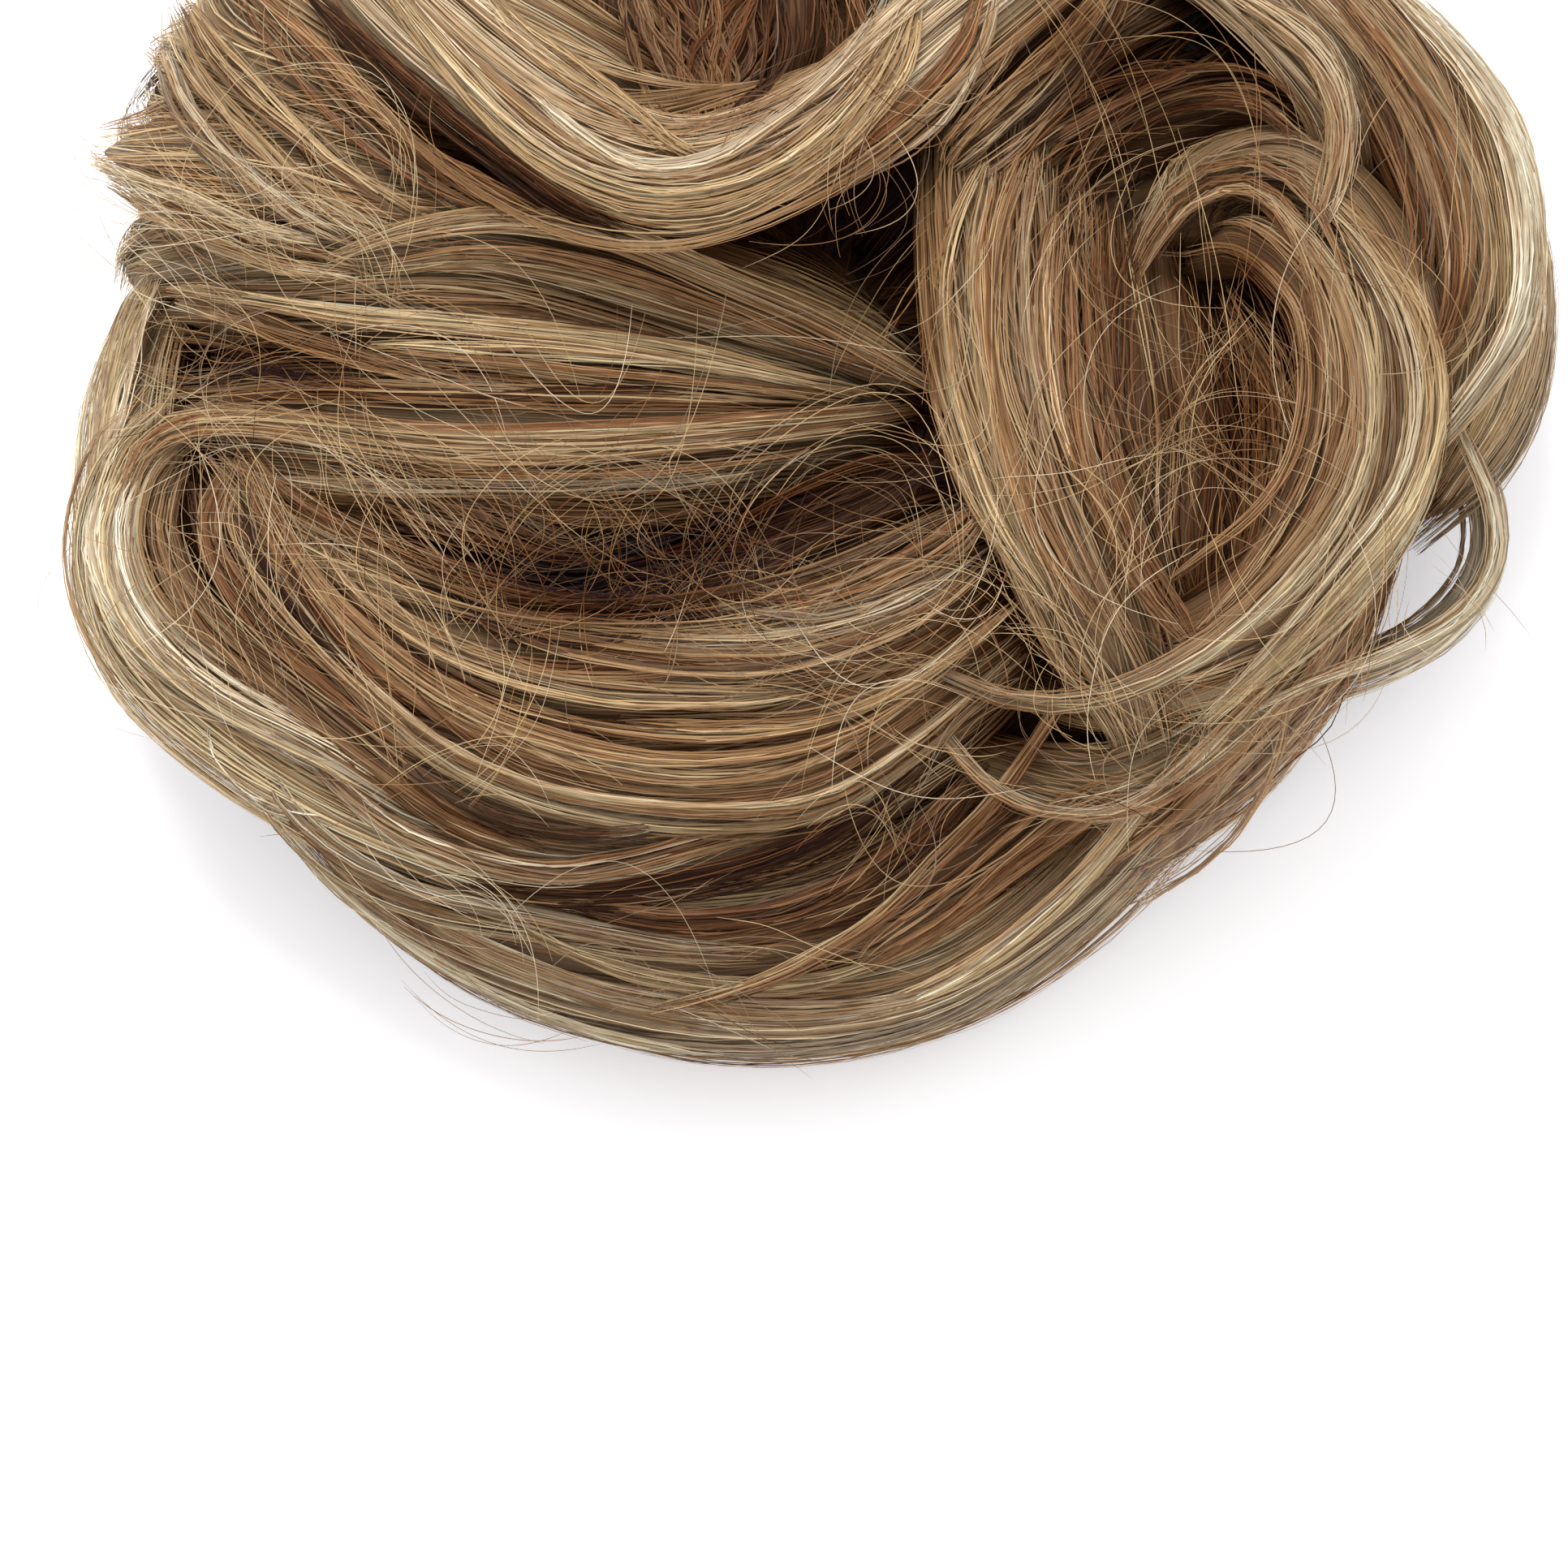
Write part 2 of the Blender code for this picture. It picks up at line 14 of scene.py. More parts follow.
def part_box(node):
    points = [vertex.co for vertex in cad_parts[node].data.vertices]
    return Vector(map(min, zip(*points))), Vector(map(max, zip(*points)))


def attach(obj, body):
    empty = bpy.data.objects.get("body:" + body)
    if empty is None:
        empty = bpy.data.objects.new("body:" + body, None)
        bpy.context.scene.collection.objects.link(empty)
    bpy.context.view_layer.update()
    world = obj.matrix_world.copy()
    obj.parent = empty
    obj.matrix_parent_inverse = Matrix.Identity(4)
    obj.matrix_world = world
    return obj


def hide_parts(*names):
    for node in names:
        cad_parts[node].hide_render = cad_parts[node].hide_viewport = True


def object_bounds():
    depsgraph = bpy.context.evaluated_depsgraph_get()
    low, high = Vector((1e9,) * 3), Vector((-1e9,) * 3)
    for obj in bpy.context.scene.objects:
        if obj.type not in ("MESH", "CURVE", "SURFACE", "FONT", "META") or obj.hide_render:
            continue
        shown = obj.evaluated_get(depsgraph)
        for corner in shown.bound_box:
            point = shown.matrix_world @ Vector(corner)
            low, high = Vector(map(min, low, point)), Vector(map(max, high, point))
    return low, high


bl_info = {
    "name": "Top Knot Hairpiece",
    "version": (1, 0, 0),
    "blender": (4, 5, 0),
    "location": "View3D > Sidebar > Top Knot",
    "description": "Builds a tousled top knot of false hair, lock by lock",
    "category": "Object",
}

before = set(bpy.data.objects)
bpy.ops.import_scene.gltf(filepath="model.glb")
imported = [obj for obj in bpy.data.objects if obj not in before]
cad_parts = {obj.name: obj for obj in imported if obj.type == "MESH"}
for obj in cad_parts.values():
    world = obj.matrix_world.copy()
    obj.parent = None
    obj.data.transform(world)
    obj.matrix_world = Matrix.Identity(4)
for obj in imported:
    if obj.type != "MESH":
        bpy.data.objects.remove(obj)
CAD_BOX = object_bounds()
BAND_LOW, BAND_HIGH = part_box("elastic_band")

# The knot's upright axis runs through the middle of its elastic loop
AXIS = np.array(((BAND_LOW[0] + BAND_HIGH[0]) / 2, (BAND_LOW[1] + BAND_HIGH[1]) / 2, 0))

# Hair stays this far above the surface that the knot lies on
FLOOR_GAP = 0.0003

# Where locks are looked at from when they are laid flat on the knot, as a share of its height
HEART_RISE = 0.10

# The end of a lock that narrows, as a share of its length
TAPER_LENGTH = 0.28

# Half of a lock's breadth is at most this share of the radius that the lock bends round
TIGHTEST = 0.8

# A hair turns at most about this far from one station to the next
BEND_STEP = math.radians(13)

# A lock narrower than this share of a usual one hangs free, with hair all round it
FREE_BREADTH = 0.5

# The plain body inside a lock, as a share of the lock's breadth, also for a free lock, and the
# share of its length over which it comes to a point
BODY_SHARE = 0.82
FREE_BODY_SHARE = 0.5
BODY_POINT = 0.12

# Hairs in a clump of a lock, of the hairs between two locks and of a strand, and the loose hairs
# that stray together
LOCK_CLUMP = 14
SHEET_CLUMP = 12
STRAND_CLUMP = 10
LOOSE_BUNDLE = 4

# The share of the hairs that are darker than their clump, in the redder tint of shade: partly
# # their own darker colour and partly painted shade between the other hairs
DARK_SHARE = 0.34

# A hair narrows to this share of its width at its tips, over this share of its length
TIP_WIDTH = 0.35
TIP_LENGTH = 0.12

# How far a strand lies above what is under it: the least, and the most that its clump and that
# the hair itself add. Its ends sink in.
STRAND_LIFTS = (0.0007, 0.0011, 0.0005)
STRAND_SINK = 0.0003

# How far loose hairs lie above what is under them, from least to most, and how far up they bow
LOOSE_LIFTS = (0.0004, 0.0014)
LOOSE_BOW = 0.0020

# The widths of the loose hairs
LOOSE_WIDTHS = (0.00005, 0.00009)

# Hair in the shade is redder: how fast its red, green and blue fall as it gets darker
SHADE_TINT = np.array((0.72, 1.0, 1.26))

# Light also reaches the knot's rim from the side. Where hair is less than RIM_SHARE of what is
# round a place, the place is brighter, up to RIM_LIGHT once that share has fallen by RIM_FADE.
RIM_SHARE = 0.90
RIM_FADE = 0.35
RIM_LIGHT = 1.35

# The grid of the knot's heights: its step, and how far it goes past the solids
GRID_STEP = 0.0015
GRID_MARGIN = 0.015

# A height that is well above the whole knot
ABOVE_ALL = 0.2

# A line of sight is followed down from this height in this many steps. No station of a hair lies
# lower than the last share of its highest station.
SIGHT_TOP = 0.084
SIGHT_STEPS = 85
LOWEST_SHARE = 0.45

# The picture's width and height in pixels
PICTURE = 1932

# Stations along each hair of a thin strand, each loose hair and each hair of the core
STRAND_STATIONS = 17
LOOSE_STATIONS = 20
CORE_STATIONS = 16

# The hollow for the wearer's own bun, and the gap between its wall and the elastic loop
HOLLOW_DEPTH = 0.026
BAND_GAP = 0.0003

# The core: its sides, the hairs wound round it, the rows that its underside is sewn in and how
# far up the dips between them go, and the steps from its rim to its crown
CORE_SIDES = 96
CORE_HAIRS = 1000
CORE_ROWS = 20
ROW_DIP = 0.0011
CORE_STEPS = 24

# The locks on each solid. A lock's stations are percents of the knot's half width, half depth and
# height: across, away, rise. breadth and depth are shares of a usual lock's. root and tip are its
# breadth at its two ends, as shares of its breadth. tone names its mix of hair colours, and fill
# is its number of hairs beside that of a usual lock of its size.
Lock = namedtuple("Lock", "group name breadth depth root tip tone fill stations")
LOCK_ROWS = {
    "crown_loop": (
        ("crown_loop_main", 0.95, 0.75, 0.7, 0.7, "pale", 1.3, ((-66, 66, 58), (-58, 46, 80),
         (-45, 27, 90), (-30, 13, 94), (-15, 9, 95), (2, 17, 94), (18, 35, 89), (33, 53, 80),
         (42, 68, 58))),
        ("crown_cross", 0.75, 0.6, 0.7, 0.5, "pale", 1, ((-58, 62, 62), (-52, 50, 78), (-34, 34, 86),
         (-16, 22, 82), (-4, 14, 66))),
        ("crown_fan", 2.2, 0.9, 1, 0.5, "shade", 1, ((-16, 80, 50), (-16, 66, 68), (-15, 48, 78),
         (-14, 32, 80), (-12, 18, 74))),
    ),
    "crown_band": (
        ("crown_band", 1.2, 0.9, 0.6, 0.7, "warm", 1, ((6, 14, 58), (20, 30, 68), (34, 44, 71),
         (45, 55, 64), (52, 63, 52))),
    ),
    "upper_left_sweep": (
        ("upper_left_fold", 2.4, 1, 0.5, 0.6, "streaked", 1.2, ((-14, 12, 58), (-38, 20, 69),
         (-60, 32, 72), (-75, 49, 63), (-77, 64, 43), (-69, 73, 24))),
        ("tuft", 1.3, 0.9, 0.6, 0.35, "streaked", 1.2, ((-20, 12, 58), (-40, 15, 70), (-63, 20, 72),
         (-82, 28, 62), (-97, 35, 48))),
        ("tuft_under", 0.9, 0.9, 0.7, 0.4, "ash", 1, ((-55, 19, 56), (-74, 20, 54), (-88, 22, 42),
         (-93, 20, 30))),
    ),
    "left_bars": (
        ("bar_first", 1.05, 0.9, 0.4, 0.5, "pale", 1.2, ((-90, 16, 46), (-66, 12, 66), (-42, 9, 74),
         (-17, 2, 72), (3, -4, 66), (17, -8, 52))),
        ("bar_second", 0.95, 0.9, 0.5, 0.5, "streaked", 1, ((-88, 10, 46), (-66, 3, 62), (-42, -2, 69),
         (-17, -5, 67), (3, -7, 60), (17, -8, 48))),
        ("bar_third", 0.85, 0.9, 0.5, 0.5, "streaked", 1, ((-74, -1, 55), (-44, -6, 62), (-17, -9, 61),
         (5, -9, 54), (17, -8, 47))),
        ("bar_fourth", 0.9, 0.9, 0.7, 0.5, "streaked", 1, ((-85, -11, 56), (-66, -14, 65),
         (-42, -17, 68), (-17, -17, 65), (5, -13, 57), (18, -10, 47))),
        ("bar_fifth", 0.9, 0.9, 0.6, 0.5, "streaked", 1, ((-79, -17, 52), (-55, -24, 60),
         (-28, -25, 59), (-6, -21, 53), (13, -14, 46))),
        ("bar_low", 1.3, 0.9, 0.6, 0.5, "deep", 1, ((-72, -26, 46), (-50, -35, 52), (-26, -35, 52),
         (-4, -29, 50), (12, -19, 46))),
    ),
    "left_curl": (
        ("rim_curl", 1, 0.95, 0.6, 0.6, "pale", 1.2, ((-84, -12, 54), (-91, -20, 54), (-93, -32, 50),
         (-87, -46, 47), (-70, -61, 45), (-49, -72, 44), (-24, -78, 43), (0, -77, 43), (20, -68, 42))),
        ("rim_outer", 1.1, 1, 0.5, 0.5, "pale", 1, ((-84, 24, 36), (-90, 10, 36), (-93, -5, 36),
         (-93, -18, 35), (-90, -32, 33), (-80, -46, 28), (-67, -58, 23))),
        ("rim_low", 1.2, 1, 0.6, 0.6, "ash", 1, ((-76, 36, 20), (-84, 14, 19), (-85, -12, 18),
         (-78, -36, 16), (-62, -54, 14))),
    ),
    "front_sweeps": (
        ("sweep_first", 1.2, 1, 0.6, 0.7, "streaked", 1.2, ((-80, -20, 56), (-71, -35, 60),
         (-55, -49, 64), (-34, -57, 67), (-12, -57, 68), (9, -50, 67), (26, -34, 60), (34, -18, 48))),
        ("sweep_upper", 1, 0.9, 0.4, 0.6, "deep", 1, ((-40, -41, 52), (-24, -45, 60), (-6, -44, 63),
         (12, -36, 61), (25, -22, 50))),
        ("sweep_second", 1.15, 1, 0.6, 0.7, "streaked", 1.2, ((-80, -34, 50), (-69, -48, 55),
         (-51, -62, 58), (-31, -69, 59), (-11, -69, 60), (8, -62, 60), (24, -48, 58), (36, -30, 46))),
        ("sweep_third", 0.9, 1, 0.6, 0.7, "pale", 1, ((-74, -48, 44), (-62, -62, 47), (-44, -71, 49),
         (-24, -75, 50), (-4, -72, 51), (13, -62, 51), (29, -46, 46))),
    ),
    "front_rim": (
        ("front_rim_upper", 1, 1.05, 0.6, 0.7, "warm", 1, ((-70, -56, 33), (-54, -72, 34),
         (-34, -81, 35), (-12, -83, 36), (9, -78, 37), (26, -66, 39), (39, -52, 40))),
        ("front_rim_middle", 1, 1.05, 0.5, 0.7, "ash", 1, ((-70, -55, 20), (-56, -71, 21),
         (-35, -83, 22), (-11, -88, 23), (12, -85, 24), (30, -74, 27), (44, -60, 31), (54, -46, 34))),
        ("front_rim_low", 0.95, 1.05, 0.6, 0.7, "ash", 1, ((-58, -60, 10), (-42, -74, 10),
         (-22, -83, 10), (-2, -85, 10), (18, -81, 11), (35, -69, 13), (49, -54, 15), (58, -42, 18))),
        ("right_under", 1, 1, 0.5, 0.6, "gold", 1, ((28, -70, 22), (38, -65, 30), (50, -57, 36),
         (62, -44, 40), (72, -27, 38), (77, -12, 34))),
        ("right_low", 0.9, 1, 0.6, 0.6, "streaked", 1, ((40, -62, 12), (54, -50, 13), (66, -34, 14),
         (74, -14, 16), (78, 6, 18))),
    ),
    "right_curl": (
        ("upright_curl", 1.15, 0.95, 0.8, 0.5, "gold", 1.3, ((27, 34, 58), (24, 19, 76), (24, -2, 84),
         (26, -20, 86), (32, -36, 82), (38, -48, 73), (43, -56, 60), (45, -60, 48))),
        ("ring_outer", 0.6, 0.8, 0.7, 0.6, "pale", 1.2, ((43, 14, 54), (52, 22, 65), (65, 22, 71),
         (76, 10, 71), (80, -8, 68), (78, -25, 65), (69, -40, 62), (55, -51, 59), (39, -56, 57),
         (26, -51, 54))),
        ("ring_inner", 0.85, 0.8, 0.6, 0.6, "warm", 1.2, ((50, 10, 58), (60, 10, 68), (69, -2, 73),
         (71, -18, 74), (68, -33, 72), (60, -44, 69), (48, -50, 65), (37, -48, 59))),
        ("ring_fill", 2.2, 0.9, 0.8, 0.7, "shade", 1, ((48, 17, 48), (49, -5, 60), (50, -25, 66),
         (50, -40, 64), (48, -48, 56))),
        ("lower_arc", 0.6, 0.8, 0.6, 0.6, "pale", 1, ((16, -57, 50), (26, -63, 50), (39, -65, 49),
         (52, -57, 49), (64, -43, 48), (70, -28, 50))),
    ),
    "outer_right_curl": (
        ("ring_back", 1, 0.9, 0.6, 0.6, "shade", 1, ((38, 30, 42), (48, 37, 53), (59, 39, 58),
         (70, 34, 58), (80, 23, 50))),
        ("curl_inner", 0.75, 0.8, 0.6, 0.6, "pale", 1.2, ((32, 64, 60), (48, 53, 78), (61, 43, 79),
         (70, 32, 75), (72, 23, 64), (69, 17, 52))),
        ("curl_middle", 1.25, 0.95, 0.6, 0.6, "pale", 1, ((36, 74, 48), (50, 64, 64), (64, 53, 70),
         (76, 40, 69), (83, 25, 64), (86, 11, 57), (84, -2, 48), (78, -10, 36))),
        ("curl_outer", 1, 0.95, 0.6, 0.6, "pale", 1, ((50, 74, 46), (66, 64, 53), (80, 50, 54),
         (90, 33, 51), (93, 15, 47), (91, -1, 42), (83, -14, 36))),
        ("curl_rim", 1, 1, 0.6, 0.6, "ash", 1, ((62, 70, 32), (76, 59, 32), (88, 44, 32), (95, 27, 31),
         (95, 10, 29), (90, -4, 26), (80, -14, 22))),
        ("curl_low", 1, 1, 0.6, 0.6, "ash", 1, ((60, 62, 17), (74, 48, 16), (84, 28, 15), (86, 8, 14),
         (80, -8, 14))),
    ),
    "side_loop": (
        ("loose_loop", 0.42, 0.5, 0.8, 0.8, "light", 1.2, ((72, 2, 26), (83, 0, 26), (92, -8, 24),
         (93, -19, 20), (87, -28, 17), (76, -34, 15), (63, -37, 14), (52, -36, 14))),
    ),
    "back_locks": (
        ("back_upper", 1.6, 0.9, 0.6, 0.6, "streaked", 1, ((-62, 50, 50), (-40, 66, 60), (-10, 74, 62),
         (20, 71, 61), (46, 58, 52))),
        ("back_middle", 1.4, 1, 0.6, 0.6, "gold", 1, ((-74, 56, 36), (-52, 76, 41), (-20, 87, 42),
         (14, 88, 42), (44, 79, 41), (68, 60, 36))),
        ("back_rim", 1.3, 1, 0.6, 0.6, "ash", 1, ((-80, 40, 21), (-66, 64, 21), (-40, 81, 21),
         (-5, 88, 21), (30, 84, 21), (58, 68, 20), (76, 46, 20))),
    ),
}
LOCKS = [Lock(group, *row) for group, rows in LOCK_ROWS.items() for row in rows]

# The core's outline from its rim to its crown, as shares of half the width and the height
Outline = namedtuple("Outline", "reach rise")
CORE_OUTLINE = (
    Outline(0.66, 0.00), Outline(0.76, 0.06), Outline(0.82, 0.18), Outline(0.82, 0.32),
    Outline(0.72, 0.44), Outline(0.54, 0.52), Outline(0.30, 0.55), Outline(0.04, 0.56),
)

# How much of each hair colour a tone holds. The shade and deep tones are painted shade: darker
# mixes for hair that lies in shade, put on locks, sheets and strands that lie deep. The light tone
# is the palest blonde, laid on crests, rims and the side loop, where it is partly the hair's own
# colour and partly painted highlight and rim light.
Tone = namedtuple("Tone", "light pale gold red ash dark")
TONES = {
    "light": Tone(0.62, 0.26, 0.06, 0.00, 0.06, 0.00),
    "pale": Tone(0.10, 0.51, 0.25, 0.05, 0.08, 0.01),
    "streaked": Tone(0.03, 0.27, 0.34, 0.14, 0.12, 0.10),
    "gold": Tone(0.01, 0.18, 0.42, 0.20, 0.09, 0.10),
    "warm": Tone(0.00, 0.08, 0.32, 0.38, 0.06, 0.16),
    "ash": Tone(0.06, 0.28, 0.20, 0.08, 0.35, 0.03),
    "shade": Tone(0.00, 0.02, 0.20, 0.40, 0.10, 0.28),
    "deep": Tone(0.00, 0.00, 0.07, 0.20, 0.03, 0.70),
}

# Hairs between two locks: from start to end, as shares of the locks' lengths, at a lift that is a
# share of the locks' half depth. count is the number of hairs.
Sheet = namedtuple("Sheet", "first second tone start end lift count")
SHEETS = [Sheet(*row) for row in (
    ("crown_loop_main", "crown_cross", "pale", 0, 0.85, 0.8, 160),
    ("upper_left_fold", "tuft", "streaked", 0.05, 1, 0.8, 220),
    ("tuft", "bar_first", "streaked", 0.05, 0.95, 0.6, 140),
    ("bar_first", "bar_second", "streaked", 0.05, 1, 0.75, 150),
    ("bar_second", "bar_third", "warm", 0.05, 1, 0.7, 120),
    ("bar_third", "bar_fourth", "warm", 0.2, 1, 0.6, 110),
    ("bar_fourth", "bar_fifth", "streaked", 0.05, 1, 0.7, 120),
    ("rim_curl", "rim_outer", "pale", 0, 0.7, 0.7, 120),
    ("rim_curl", "sweep_third", "streaked", 0, 0.8, 0.6, 120),
    ("sweep_first", "sweep_second", "gold", 0.1, 1, 0.8, 240),
    ("sweep_upper", "sweep_first", "deep", 0.1, 1, 0.6, 110),
    ("sweep_second", "sweep_third", "gold", 0.05, 0.9, 0.7, 180),
    ("sweep_third", "front_rim_upper", "streaked", 0.05, 0.95, 0.6, 140),
    ("front_rim_upper", "front_rim_middle", "streaked", 0.05, 1, 0.7, 180),
    ("front_rim_middle", "front_rim_low", "ash", 0.05, 1, 0.8, 180),
    ("upright_curl", "ring_fill", "gold", 0.05, 1, 0.7, 160),
    ("ring_fill", "ring_inner", "warm", 0.15, 1, 0.7, 160),
    ("ring_inner", "ring_outer", "gold", 0.05, 1, 0.75, 200),
    ("curl_inner", "curl_middle", "streaked", 0, 0.75, 0.7, 160),
    ("curl_middle", "curl_outer", "streaked", 0.05, 1, 0.75, 180),
    ("curl_outer", "curl_rim", "pale", 0.05, 1, 0.7, 140),
    ("back_upper", "back_middle", "gold", 0.05, 0.95, 0.7, 140),
    ("back_middle", "back_rim", "ash", 0.05, 0.95, 0.7, 140),
)]

